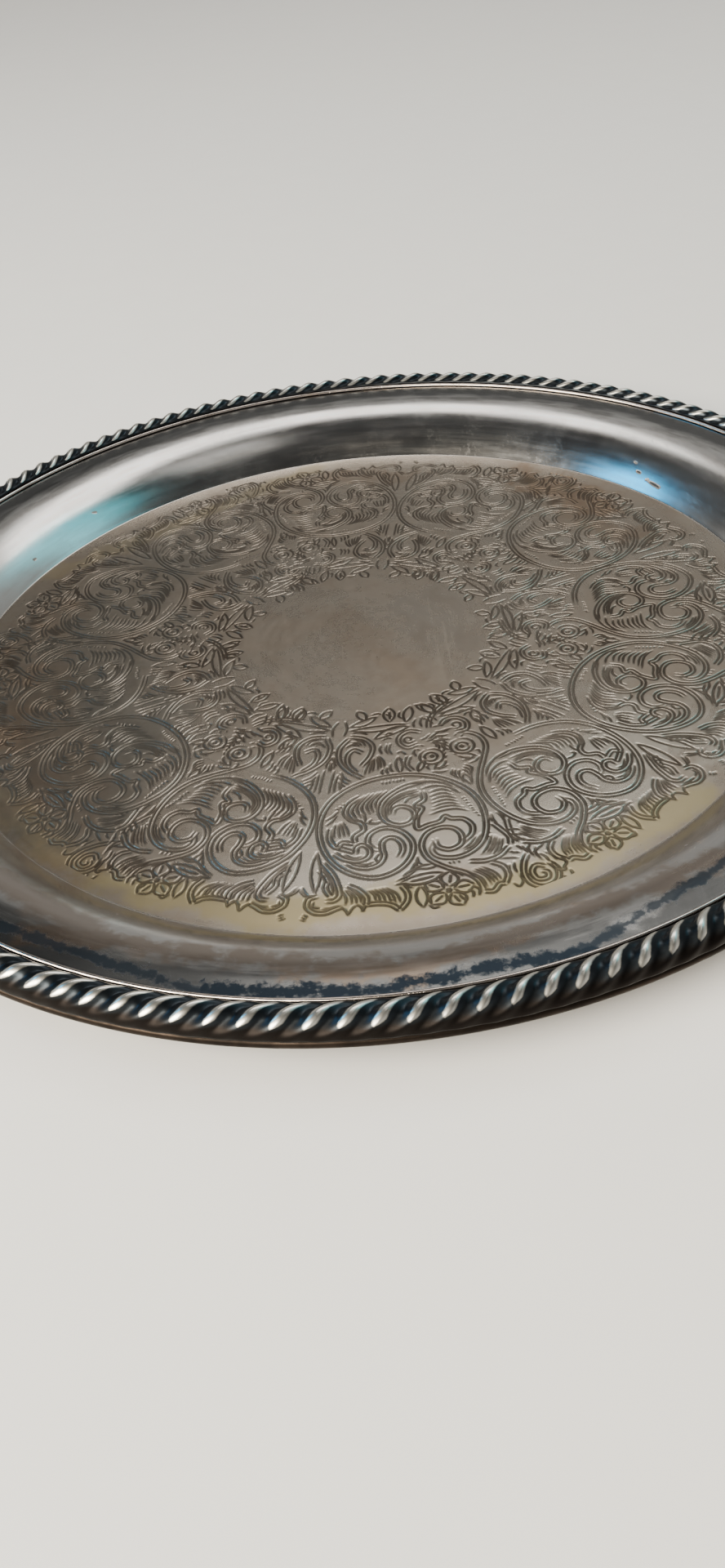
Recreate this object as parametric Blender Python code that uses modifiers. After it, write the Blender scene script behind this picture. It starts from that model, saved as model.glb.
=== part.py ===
"""Round silver-plated salver with an applied gadroon border, as an assembly of its real pieces.

The tray stands on its flat floor. Z is its turning axis and points up, and the origin is the middle
of the floor's underside. The constants are in millimetres and the meshes in metres.
"""

import bmesh
import bpy
from math import cos, pi, radians, sin
from mathutils import Vector

MM = 0.001

# The spun dish: floor, wall, flange and the apron that carries the border.
OUTER_RADIUS = 190.5
FLOOR_RADIUS = 142.9
SHEET = 1.2
GAP = 0.3
FLANGE_HEIGHT = 16.9
FLANGE_START = (173.0, 16.7)
FLANGE_SLOPE = radians(1.5)
WALL_FOOT = (144.6, 2.3)
WALL_SLOPE = radians(46.0)
WALL_HANDLE = 12.0
WALL_STEPS = 5
APRON_DROP = 1.1
APRON_STEPS = 3

# The rim's section: every layer of the border is an ellipse round this point.
RIM_CENTRE = (185.2, 14.7)
BORDER_HALF = (OUTER_RADIUS - RIM_CENTRE[0], 5.8)
CHANNEL_HALF = (3.6, 4.1)
APRON_HALF = (2.1, FLANGE_HEIGHT - RIM_CENTRE[1])
TOE_ANGLE = radians(144.0)
BORDER_STEPS = 5
LAYER_STEPS = 4

# The gadroon lobes, from the toe at the bead down to the outer edge.
SECTION_COUNT = 4
LOBES = 144
COLUMNS_PER_LOBE = 3
LOBE_RELIEF = 1.1
LOBE_RELIEF_AT_ENDS = 0.3
LOBE_LEAN = 1.7
LOBE_SWERVE = 0.45

# The two plain wires.
BEAD_RADIUS = 179.7
BEAD_HALF = (0.7, 0.8)
BEAD_STEPS = 4
EDGE_WIRE_CENTRE = (189.05, 12.9)
EDGE_WIRE_RADIUS = 1.4
EDGE_WIRE_SIDES = 8

RING_STEPS = 72
SECTOR_STEPS = RING_STEPS // SECTION_COUNT
SECTION_ANGLE = 2 * pi / SECTION_COUNT
END_GAP_ANGLE = GAP / OUTER_RADIUS / 2
CUTTER_MARGIN = SECTION_ANGLE / SECTOR_STEPS
MERGE_DISTANCE = 0.00001

FINISHES = {
    "plated_sheet": ((0.42, 0.38, 0.33), 0.32),
    "gadroon_plate": ((0.50, 0.49, 0.46), 0.22),
    "bead_plate": ((0.66, 0.62, 0.56), 0.25),
    "edge_plate": ((0.30, 0.27, 0.24), 0.35),
    "tin_solder": ((0.40, 0.40, 0.41), 0.60),
}


def clear_objects():
    """Remove every object of the start-up scene."""
    for thing in list(bpy.data.objects):
        bpy.data.objects.remove(thing, do_unlink=True)


def make_collection(name):
    """Return a new collection linked under the scene's own."""
    collection = bpy.data.collections.new(name)
    bpy.context.scene.collection.children.link(collection)
    return collection


def make_finish(name):
    """Return a metal material with the colour and roughness listed for that finish."""
    colour, roughness = FINISHES[name]
    material = bpy.data.materials.new(name)
    material.use_nodes = True
    shader = material.node_tree.nodes["Principled BSDF"]
    shader.inputs["Base Color"].default_value = (*colour, 1.0)
    shader.inputs["Metallic"].default_value = 1.0
    shader.inputs["Roughness"].default_value = roughness
    return material


def add_object(name, mesh, collection, finish):
    """Place a mesh in a collection under its own name and return the object."""
    thing = bpy.data.objects.new(name, mesh)
    collection.objects.link(thing)
    mesh.materials.append(finish)
    return thing


def smooth_rounds(mesh, angle=radians(35.0)):
    """Shade a mesh smooth and keep its hard edges."""
    mesh.shade_smooth()
    mesh.set_sharp_from_angle(angle=angle)


def ellipse(half, start, end, steps, centre=RIM_CENTRE):
    """Return steps + 1 points (radius, height) of an ellipse's arc."""
    turns = [start + (end - start) * step / steps for step in range(steps + 1)]
    return [(centre[0] + half[0] * cos(turn), centre[1] + half[1] * sin(turn)) for turn in turns]


def bezier(corners, steps):
    """Return steps + 1 points (radius, height) of a cubic Bezier curve."""
    points = []
    for step in range(steps + 1):
        t = step / steps
        weights = ((1 - t) ** 3, 3 * t * (1 - t) ** 2, 3 * t * t * (1 - t), t ** 3)
        radius = sum(weight * corner[0] for weight, corner in zip(weights, corners))
        height = sum(weight * corner[1] for weight, corner in zip(weights, corners))
        points.append((radius, height))
    return points


def beyond(point, slope, distance):
    """Return the point at a distance from another along a slope."""
    return (point[0] + distance * cos(slope), point[1] + distance * sin(slope))


def offset_below(points, distance):
    """Return a profile's underside, at a constant sheet thickness below it."""
    corners = [Vector(point) for point in points]
    runs = [(after - before).normalized() for before, after in zip(corners, corners[1:])]
    normals = [Vector((run.y, -run.x)) for run in runs]
    moved = []
    for corner, before, after in zip(corners, [normals[0]] + normals, normals + [normals[-1]]):
        middle = (before + after).normalized()
        moved.append(tuple(corner + middle * (distance / middle.dot(before))))
    return moved


def dish_top():
    """Return the dish's upper profile, from the axis to the apron's lower edge."""
    handles = (beyond(WALL_FOOT, WALL_SLOPE, WALL_HANDLE), beyond(FLANGE_START, FLANGE_SLOPE, -WALL_HANDLE))
    wall = bezier((WALL_FOOT, *handles, FLANGE_START), WALL_STEPS)
    apron = ellipse(APRON_HALF, pi / 2, 0.0, APRON_STEPS)
    edge = (apron[-1][0], apron[-1][1] - APRON_DROP)
    return [(0.0, SHEET), (FLOOR_RADIUS, SHEET), *wall, *apron, edge]


def turn_profile(name, outline, closed, collection, finish):
    """Turn an outline (radius, height) a full circle round Z with a Screw modifier."""
    mesh = bpy.data.meshes.new(name)
    count = len(outline)
    edges = [(index, (index + 1) % count) for index in range(count if closed else count - 1)]
    mesh.from_pydata([(radius * MM, 0.0, height * MM) for radius, height in outline], edges, [])
    thing = add_object(name, mesh, collection, finish)
    screw = thing.modifiers.new("turn", "SCREW")
    screw.axis = "Z"
    screw.angle = 2 * pi
    screw.steps = RING_STEPS
    screw.render_steps = RING_STEPS
    screw.use_merge_vertices = True
    screw.merge_threshold = MERGE_DISTANCE
    screw.use_smooth_shade = True
    return thing


def spin_sector(name, outline, start, sweep, steps):
    """Return a mesh: a closed outline (radius, height) spun through part of a circle."""
    shape = bmesh.new()
    ring = []
    for radius, height in outline:
        ring.append(shape.verts.new((radius * MM * cos(start), radius * MM * sin(start), height * MM)))
    face = shape.faces.new(ring)
    parts = [face, *face.edges, *face.verts]
    centre = (0.0, 0.0, 0.0)
    bmesh.ops.spin(shape, geom=parts, cent=centre, axis=(0.0, 0.0, 1.0), angle=sweep, steps=steps)
    bmesh.ops.recalc_face_normals(shape, faces=shape.faces)
    mesh = bpy.data.meshes.new(name)
    shape.to_mesh(mesh)
    shape.free()
    return mesh


def lobe_fall(phase):
    """Return how far below its crest a lobe is, from 0 at the crest to 1 in the hollow."""
    across = 2 * phase - 1
    return 1 - (1 - across * across) ** 0.5


def lobe_depth(share):
    """Return the hollow's depth at a share of the way from the outer edge to the toe."""
    return LOBE_RELIEF * (LOBE_RELIEF_AT_ENDS + (1 - LOBE_RELIEF_AT_ENDS) * sin(pi * share))


def lobe_lean(share):
    """Return the angle that a lobe's S has turned at a share of the way to the toe."""
    swerved = share + LOBE_SWERVE * sin(2 * pi * share) / (2 * pi)
    return 2 * pi / LOBES * LOBE_LEAN * swerved


def border_column(angle, fall):
    """Return one cross-section of the gadroon strip as a ring of points, from the seat's inner corner."""
    seat = FLANGE_HEIGHT + GAP
    inner = RIM_CENTRE[0] - APRON_HALF[0]
    toe_angle = angle + lobe_lean(1.0)
    points = [(inner, seat, toe_angle), (RIM_CENTRE[0] + APRON_HALF[0], RIM_CENTRE[1], angle)]
    for step in range(BORDER_STEPS + 1):
        share = step / BORDER_STEPS
        turn = TOE_ANGLE * share
        outward = Vector((cos(turn) / BORDER_HALF[0], sin(turn) / BORDER_HALF[1])).normalized()
        crest = Vector(ellipse(BORDER_HALF, turn, turn, 1)[0])
        points.append((*(crest - outward * lobe_depth(share) * fall), angle + lobe_lean(share)))
    points.append((points[-1][0], seat, toe_angle))
    return [Vector((r * MM * cos(a), r * MM * sin(a), height * MM)) for r, height, a in points]


def loft(name, columns):
    """Return a closed mesh through a row of rings that have the same number of points.

    Both ends get the same fan of triangles, so two lofts that meet end to end fit each other.
    """
    shape = bmesh.new()
    rings = [[shape.verts.new(point) for point in column] for column in columns]
    count = len(rings[0])
    for here, there in zip(rings, rings[1:]):
        for index in range(count):
            after = (index + 1) % count
            shape.faces.new((here[index], there[index], there[after], here[after]))
    for ring in (rings[0], rings[-1]):
        for index in range(1, count - 1):
            shape.faces.new((ring[0], ring[index], ring[index + 1]))
    bmesh.ops.recalc_face_normals(shape, faces=shape.faces)
    mesh = bpy.data.meshes.new(name)
    shape.to_mesh(mesh)
    shape.free()
    return mesh


def make_dish(collection, finishes):
    """Make the spun sheet: floor, wall, flange and turned-down apron in one piece."""
    top = dish_top()
    under = offset_below(top, SHEET)
    under[0] = (0.0, 0.0)
    turn_profile("dish_body", top + under[::-1], False, collection, finishes["plated_sheet"])


def make_bead(collection, finishes):
    """Make the half-round wire that runs round the flange inside the lobes."""
    seat = (BEAD_RADIUS, FLANGE_HEIGHT + GAP)
    outline = ellipse(BEAD_HALF, 0.0, pi, BEAD_STEPS, seat)
    turn_profile("bead_wire", outline[::-1], True, collection, finishes["bead_plate"])


def make_edge_wire(collection, finishes):
    """Make the plain round wire under the border's outer edge."""
    half = (EDGE_WIRE_RADIUS, EDGE_WIRE_RADIUS)
    outline = ellipse(half, 0.0, -2 * pi, EDGE_WIRE_SIDES, EDGE_WIRE_CENTRE)[:-1]
    turn_profile("edge_wire", outline, True, collection, finishes["edge_plate"])


def make_gadroon_strips(collection, cutters, finishes):
    """Make the hollow stamped strips of lobes, with the channel cut out of their backs."""
    lobes = LOBES // SECTION_COUNT
    columns = lobes * COLUMNS_PER_LOBE
    sweep = SECTION_ANGLE - 2 * END_GAP_ANGLE
    channel = ellipse(CHANNEL_HALF, 0.0, TOE_ANGLE, LAYER_STEPS)
    below = RIM_CENTRE[1] - GAP
    channel += [(channel[-1][0], below), (channel[0][0], below)]
    for number in range(SECTION_COUNT):
        start = SECTION_ANGLE * number + END_GAP_ANGLE
        sections = []
        for column in range(columns + 1):
            fall = lobe_fall(column % COLUMNS_PER_LOBE / COLUMNS_PER_LOBE)
            sections.append(border_column(start + sweep * column / columns, fall))
        name = f"gadroon_strip_{number + 1}"
        strip = add_object(name, loft(name, sections), collection, finishes["gadroon_plate"])
        guide = f"channel_cutter_{number + 1}"
        first = SECTION_ANGLE * number - CUTTER_MARGIN
        mesh = spin_sector(guide, channel, first, SECTION_ANGLE + 2 * CUTTER_MARGIN, SECTOR_STEPS + 2)
        cutter = add_object(guide, mesh, cutters, finishes["gadroon_plate"])
        cutter.hide_render = True
        cutter.display_type = "WIRE"
        cut = strip.modifiers.new("channel", "BOOLEAN")
        cut.operation = "DIFFERENCE"
        cut.solver = "EXACT"
        cut.object = cutter


def make_solder_fills(collection, finishes):
    """Make the solder that fills the hollow between each strip and the apron."""
    outer_half = [half - GAP for half in CHANNEL_HALF]
    inner_half = [half + GAP for half in APRON_HALF]
    outer = ellipse(outer_half, 0.0, pi / 2, LAYER_STEPS)
    inner = ellipse(inner_half, pi / 2, 0.0, LAYER_STEPS)
    for number in range(SECTION_COUNT):
        start = SECTION_ANGLE * number + END_GAP_ANGLE
        name = f"solder_fill_{number + 1}"
        mesh = spin_sector(name, outer + inner, start, SECTION_ANGLE - 2 * END_GAP_ANGLE, SECTOR_STEPS)
        smooth_rounds(mesh)
        add_object(name, mesh, collection, finishes["tin_solder"])


def main():
    """Build every piece of the salver."""
    clear_objects()
    collection = make_collection("silver_salver")
    cutters = make_collection("cutters")
    finishes = {name: make_finish(name) for name in FINISHES}
    make_dish(collection, finishes)
    make_bead(collection, finishes)
    make_gadroon_strips(collection, cutters, finishes)
    make_solder_fills(collection, finishes)
    make_edge_wire(collection, finishes)


if __name__ == "__main__":
    main()
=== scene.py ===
"""Round silver-plated salver: an engraved floor, a curved wall and a border of slanted gadroon lobes.

The salver lies on its flat floor. Z is its turning axis and points up, -Y is the side nearest the
person who holds it. Sizes are in millimetres in the classes and in metres in the meshes.
"""

import logging
from dataclasses import dataclass, field
from enum import Enum
from math import cos, pi, radians, sin

import bpy
import numpy as np
from mathutils import Matrix, Vector


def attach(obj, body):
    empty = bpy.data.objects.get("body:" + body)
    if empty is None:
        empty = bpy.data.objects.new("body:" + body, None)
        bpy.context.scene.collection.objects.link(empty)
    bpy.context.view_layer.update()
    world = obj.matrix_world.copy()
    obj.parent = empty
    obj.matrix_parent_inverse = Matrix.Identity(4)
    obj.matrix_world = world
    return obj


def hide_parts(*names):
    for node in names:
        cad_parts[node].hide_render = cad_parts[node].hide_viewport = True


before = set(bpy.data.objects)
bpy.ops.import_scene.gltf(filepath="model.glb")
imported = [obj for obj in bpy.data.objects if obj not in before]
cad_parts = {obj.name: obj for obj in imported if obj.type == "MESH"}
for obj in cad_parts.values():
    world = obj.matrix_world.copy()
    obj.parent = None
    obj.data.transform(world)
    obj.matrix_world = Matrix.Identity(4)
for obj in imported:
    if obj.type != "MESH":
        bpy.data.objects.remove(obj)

MM = 0.001
BODY = "root"
Colour = tuple[float, float, float]
Point = tuple[float, float]
Profile = list[Point]
LOG = logging.getLogger("salver")


class Slot(Enum):
    """The names of the record's material slots."""

    SHEET = "plated_sheet"
    GADROON = "gadroon_plate"
    BEAD = "bead_plate"
    EDGE = "edge_plate"


# ---------------------------------------------------------------------------------------------
# Shared node groups
# ---------------------------------------------------------------------------------------------


@dataclass
class NodeBoard:
    """A short way to lay nodes in a tree and wire them.

    Args:
        tree: The node tree of a material, group or world.
    """

    tree: bpy.types.NodeTree

    def add(self, kind: str, **settings: object) -> bpy.types.Node:
        """Place a node and set its options.

        Args:
            kind: The node's type name, without its ShaderNode prefix.
            **settings: Options of the node.

        Returns:
            The new node.
        """
        node = self.tree.nodes.new("ShaderNode" + kind)
        for key, value in settings.items():
            setattr(node, key, value)
        return node

    def wire(self, source: bpy.types.NodeSocket, target: bpy.types.NodeSocket) -> None:
        """Join an output to an input."""
        self.tree.links.new(source, target)

    def feed(self, target: bpy.types.NodeSocket, value: object) -> None:
        """Give an input a value, or wire it if the value is another node's output.

        Args:
            target: The input.
            value: A number, a colour, a vector or a socket.
        """
        if isinstance(value, bpy.types.NodeSocket):
            self.wire(value, target)
        else:
            target.default_value = value

    def math(self, operation: str, *values: object, clamp: bool = False) -> bpy.types.NodeSocket:
        """Place a math node.

        Args:
            operation: Its operation, such as MULTIPLY.
            *values: Its inputs, as numbers or sockets.
            clamp: Whether the result is kept from 0 to 1.

        Returns:
            Its result.
        """
        node = self.add("Math", operation=operation, use_clamp=clamp)
        for socket, value in zip(node.inputs, values):
            self.feed(socket, value)
        return node.outputs[0]

    def fold(self, operation: str, *values: object, clamp: bool = False) -> bpy.types.NodeSocket:
        """Join two or more values in turn by one operation.

        Args:
            operation: The operation, such as MULTIPLY.
            *values: The values, as numbers or sockets.
            clamp: Whether the end result is kept from 0 to 1.

        Returns:
            The end result.
        """
        *inner, last = values[1:]
        result = values[0]
        for value in inner:
            result = self.math(operation, result, value)
        return self.math(operation, result, last, clamp=clamp)

    def times(self, *values: object, clamp: bool = False) -> bpy.types.NodeSocket:
        """Multiply the values."""
        return self.fold("MULTIPLY", *values, clamp=clamp)

    def plus(self, *values: object, clamp: bool = False) -> bpy.types.NodeSocket:
        """Add the values."""
        return self.fold("ADD", *values, clamp=clamp)

    def minus(self, first: object, second: object) -> bpy.types.NodeSocket:
        """Take the second value from the first."""
        return self.math("SUBTRACT", first, second)

    def most(self, *values: object) -> bpy.types.NodeSocket:
        """Keep the greatest of the values."""
        return self.fold("MAXIMUM", *values)

    def vector(self, operation: str, *values: object) -> bpy.types.NodeSocket:
        """Place a vector math node.

        Args:
            operation: Its operation, such as SUBTRACT.
            *values: Its inputs, as vectors or sockets.

        Returns:
            Its number if the operation gives one, and its vector otherwise.
        """
        node = self.add("VectorMath", operation=operation)
        for socket, value in zip(node.inputs, values):
            self.feed(socket, value)
        return node.outputs["Value" if operation in ("DOT_PRODUCT", "LENGTH") else "Vector"]

    def split(self, vector: bpy.types.NodeSocket) -> bpy.types.NodeOutputs:
        """Take a vector apart.

        Args:
            vector: The vector.

        Returns:
            Its X, Y and Z.
        """
        node = self.add("SeparateXYZ")
        self.wire(vector, node.inputs[0])
        return node.outputs

    def join(self, *parts: bpy.types.NodeSocket) -> bpy.types.NodeSocket:
        """Make a vector of its parts.

        Args:
            *parts: Its X, Y and Z.

        Returns:
            The vector.
        """
        node = self.add("CombineXYZ")
        for part, target in zip(parts, node.inputs):
            self.wire(part, target)
        return node.outputs[0]

    def ramp(self, value: object, low: object, high: object) -> bpy.types.NodeSocket:
        """Turn a value into a mask that rises smoothly from 0 to 1.

        Args:
            value: The value.
            low: Where the mask is 0.
            high: Where the mask is 1, which may lie below low.

        Returns:
            The mask.
        """
        node = self.add("MapRange", interpolation_type="SMOOTHSTEP", clamp=True)
        self.feed(node.inputs["Value"], value)
        self.feed(node.inputs["From Min"], low)
        self.feed(node.inputs["From Max"], high)
        return node.outputs["Result"]

    def spread(self, value: object, low: float, high: float) -> bpy.types.NodeSocket:
        """Turn a mask into a value between two others.

        Args:
            value: The mask, from 0 to 1.
            low: The value where the mask is 0.
            high: The value where the mask is 1.

        Returns:
            The value.
        """
        node = self.add("MapRange", clamp=True)
        self.feed(node.inputs["Value"], value)
        node.inputs["To Min"].default_value = low
        node.inputs["To Max"].default_value = high
        return node.outputs["Result"]

    def noise(self, vector: object, scale: object, detail: float = 4.0, rough: float = 0.55,
              distortion: float = 0.0) -> bpy.types.NodeSocket:
        """Place a noise texture.

        Args:
            vector: The place that it is read at.
            scale: Its scale.
            detail: How many finer layers it has.
            rough: How strong the finer layers are.
            distortion: How much it swirls.

        Returns:
            Its value.
        """
        node = self.add("TexNoise", noise_dimensions="3D")
        self.feed(node.inputs["Vector"], vector)
        self.feed(node.inputs["Scale"], scale)
        node.inputs["Detail"].default_value = detail
        node.inputs["Roughness"].default_value = rough
        node.inputs["Distortion"].default_value = distortion
        return node.outputs["Fac"]

    def blend(self, mask: object, below: object, above: object) -> bpy.types.NodeSocket:
        """Lay one colour over another by a mask.

        Args:
            mask: How far the upper colour shows, from 0 to 1.
            below: The lower colour, or a socket.
            above: The upper colour, or a socket.

        Returns:
            The blended colour.
        """
        node = self.add("Mix", data_type="RGBA")
        self.feed(node.inputs[0], mask)
        self.feed(node.inputs[6], (*below, 1.0) if isinstance(below, tuple) else below)
        self.feed(node.inputs[7], (*above, 1.0) if isinstance(above, tuple) else above)
        return node.outputs[2]


@dataclass
class GroupMaker:
    """Start a shader node group with named inputs and outputs.

    Args:
        name: The group's name.
        inputs: Socket type and default value of each input by its name.
        outputs: Socket type of each output by its name.
    """

    name: str
    inputs: dict[str, tuple[str, object]]
    outputs: dict[str, str]
    board: NodeBoard = field(init=False)
    given: bpy.types.Node = field(init=False)
    result: bpy.types.Node = field(init=False)

    def __post_init__(self) -> None:
        """Make the group and its sockets."""
        tree = bpy.data.node_groups.new(self.name, "ShaderNodeTree")
        for name, (kind, value) in self.inputs.items():
            socket = tree.interface.new_socket(name, in_out="INPUT", socket_type="NodeSocket" + kind)
            socket.default_value = value
        for name, kind in self.outputs.items():
            tree.interface.new_socket(name, in_out="OUTPUT", socket_type="NodeSocket" + kind)
        self.board = NodeBoard(tree)
        self.given = tree.nodes.new("NodeGroupInput")
        self.result = tree.nodes.new("NodeGroupOutput")

    def out(self, name: str, source: bpy.types.NodeSocket) -> None:
        """Wire a socket to one of the group's outputs."""
        self.board.wire(source, self.result.inputs[name])


PLACE_INPUT = ("Vector", (0.0, 0.0, 0.0))
TINY = 0.000001


def polar_group() -> bpy.types.NodeTree:
    """Build the group that turns a place on the tray into its angle, radius and height.

    Returns:
        The group. Its Round output runs round the rim in X, outward in Y and up in Z.
    """
    outputs = {"Round": "Vector", "Radius": "Float"}
    maker = GroupMaker("Tray Polar", {"Place": PLACE_INPUT}, outputs)
    board = maker.board
    x, y, z = board.split(maker.given.outputs["Place"])
    angle = board.math("ARCTAN2", y, x)
    radius = board.math("SQRT", board.plus(board.times(x, x), board.times(y, y)))
    maker.out("Round", board.join(angle, radius, z))
    maker.out("Radius", radius)
    return board.tree


def clouds_group() -> bpy.types.NodeTree:
    """Build the group for soft tarnish clouds with ragged edges.

    Returns:
        The group, with the share of the surface that is clouded in its Cover input.
    """
    inputs = {"Place": PLACE_INPUT, "Scale": ("Float", 18.0), "Cover": ("Float", 0.5)}
    maker = GroupMaker("Tarnish Clouds", inputs, {"Mask": "Float"})
    board = maker.board
    place, scale, cover = (maker.given.outputs[name] for name in inputs)
    wide = board.noise(place, scale, 5.0, 0.6, 0.6)
    fine = board.noise(place, board.times(scale, 9.0), 4.0, 0.65)
    mixed = board.plus(board.times(wide, 0.8), board.times(fine, 0.2))
    edge = board.minus(0.74, board.times(cover, 0.46))
    softness = 0.13
    maker.out("Mask", board.ramp(mixed, board.minus(edge, softness), board.plus(edge, softness)))
    return board.tree


def scratches_group() -> bpy.types.NodeTree:
    """Build the group for hairline scratches and polishing marks.

    Returns:
        The group, with a mask of the scratches and a height for a Bump node.
    """
    inputs = {"Place": PLACE_INPUT, "Scale": ("Float", 60.0), "Amount": ("Float", 0.5)}
    maker = GroupMaker("Hairline Scratches", inputs, {"Mask": "Float", "Height": "Float"})
    board = maker.board
    place, scale, amount = (maker.given.outputs[name] for name in inputs)
    hairlines = []
    for direction, stretch in ((0.35, 0.03), (-0.9, 0.045), (1.25, 0.03)):
        mapping = board.add("Mapping")
        board.wire(place, mapping.inputs["Vector"])
        mapping.inputs["Rotation"].default_value = (0.0, 0.0, direction)
        mapping.inputs["Scale"].default_value = (1.0, stretch, 1.0)
        streak = board.noise(mapping.outputs[0], board.times(scale, 14.0), 2.0)
        patch = board.noise(place, scale, 1.0)
        hairlines.append(board.times(board.ramp(streak, 0.60, 0.72), board.ramp(patch, 0.42, 0.66)))
    mask = board.times(board.most(*hairlines), amount, clamp=True)
    maker.out("Mask", mask)
    maker.out("Height", board.times(mask, -1.0))
    return board.tree


def streaks_group() -> bpy.types.NodeTree:
    """Build the group for wiping streaks that run round the tray or down its wall.

    Returns:
        The group, whose Around and Across inputs stretch the streaks each way.
    """
    inputs = {"Round": PLACE_INPUT, "Around": ("Float", 6.0), "Across": ("Float", 160.0)}
    maker = GroupMaker("Wiping Streaks", inputs, {"Mask": "Float"})
    board = maker.board
    given, around, across = (maker.given.outputs[name] for name in inputs)
    angle, radius, height = board.split(given)
    drawn = board.join(board.times(angle, around), board.times(radius, across), board.times(height, across))
    maker.out("Mask", board.ramp(board.noise(drawn, 1.0, 5.0, 0.6), 0.36, 0.66))
    return board.tree


def mark_group() -> bpy.types.NodeTree:
    """Build the group for one mark of a given place and size, with a broken edge.

    Returns:
        The group. Near and Far are the mark's two ends, and it fades over its Width.
    """
    inputs = {
        "Place": PLACE_INPUT,
        "Near": PLACE_INPUT,
        "Far": ("Vector", (0.01, 0.0, 0.0)),
        "Width": ("Float", 0.01),
        "Rag": ("Float", 0.5),
        "Grain": ("Float", 300.0),
    }
    maker = GroupMaker("Placed Mark", inputs, {"Mask": "Float"})
    board = maker.board
    given = maker.given.outputs
    along = board.vector("SUBTRACT", given["Far"], given["Near"])
    reach = board.vector("SUBTRACT", given["Place"], given["Near"])
    length_squared = board.most(board.vector("DOT_PRODUCT", along, along), TINY)
    share = board.math("DIVIDE", board.vector("DOT_PRODUCT", reach, along), length_squared, clamp=True)
    nearest = board.add("VectorMath", operation="SCALE")
    board.wire(along, nearest.inputs[0])
    board.wire(share, nearest.inputs["Scale"])
    apart = board.vector("LENGTH", board.vector("SUBTRACT", reach, nearest.outputs[0]))
    wave = board.minus(board.noise(given["Place"], given["Grain"], 4.0, 0.65), 0.5)
    ragged = board.plus(board.math("DIVIDE", apart, given["Width"]), board.times(wave, given["Rag"], 3.0))
    maker.out("Mask", board.ramp(ragged, 1.0, 0.25))
    return board.tree


@dataclass
class EffectShelf:
    """The node groups that several finishes share, each built once."""

    groups: dict[str, bpy.types.NodeTree] = field(default_factory=dict)

    def __post_init__(self) -> None:
        """Build every group."""
        for maker in (polar_group, clouds_group, scratches_group, streaks_group, mark_group):
            self.groups[maker.__name__.removesuffix("_group")] = maker()

    def place(self, board: NodeBoard, name: str, **values: object) -> bpy.types.Node:
        """Put a group in a material with its own values.

        Args:
            board: The material's board.
            name: The group's short name.
            **values: Its inputs by name, as numbers, vectors or sockets.

        Returns:
            The group node.
        """
        node = board.add("Group")
        node.node_tree = self.groups[name]
        for key, value in values.items():
            board.feed(node.inputs[key], value)
        return node


# ---------------------------------------------------------------------------------------------
# Finishes
# ---------------------------------------------------------------------------------------------


@dataclass(frozen=True)
class Mark:
    """A stained spot, a pit, or a patch of painted sheen or painted shade, at one place on the tray, from
    one end to the other.

    Args:
        near: Angle in degrees and radius in millimetres of its first end.
        far: The same for its other end.
        height: Height of the surface there, in millimetres.
        width: Half its width, in millimetres.
        rag: How broken its edge is.
        grain: Scale of the breaks, per metre.
        strength: How strongly it shows.
    """

    near: Point
    far: Point
    height: float
    width: float
    rag: float = 0.5
    grain: float = 300.0
    strength: float = 1.0

    def mask(self, board: NodeBoard, shelf: EffectShelf,
             place: bpy.types.NodeSocket) -> bpy.types.NodeSocket:
        """Place the mark in a material.

        Args:
            board: The material's board.
            shelf: The shared groups.
            place: The position on the tray, in metres.

        Returns:
            The mark's mask.
        """
        ends = [(radius * MM * cos(radians(angle)), radius * MM * sin(radians(angle)), self.height * MM)
                for angle, radius in (self.near, self.far)]
        node = shelf.place(board, "mark", Place=place, Near=ends[0], Far=ends[1], Width=self.width * MM,
                           Rag=self.rag, Grain=self.grain)
        return board.times(node.outputs["Mask"], self.strength)


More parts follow.
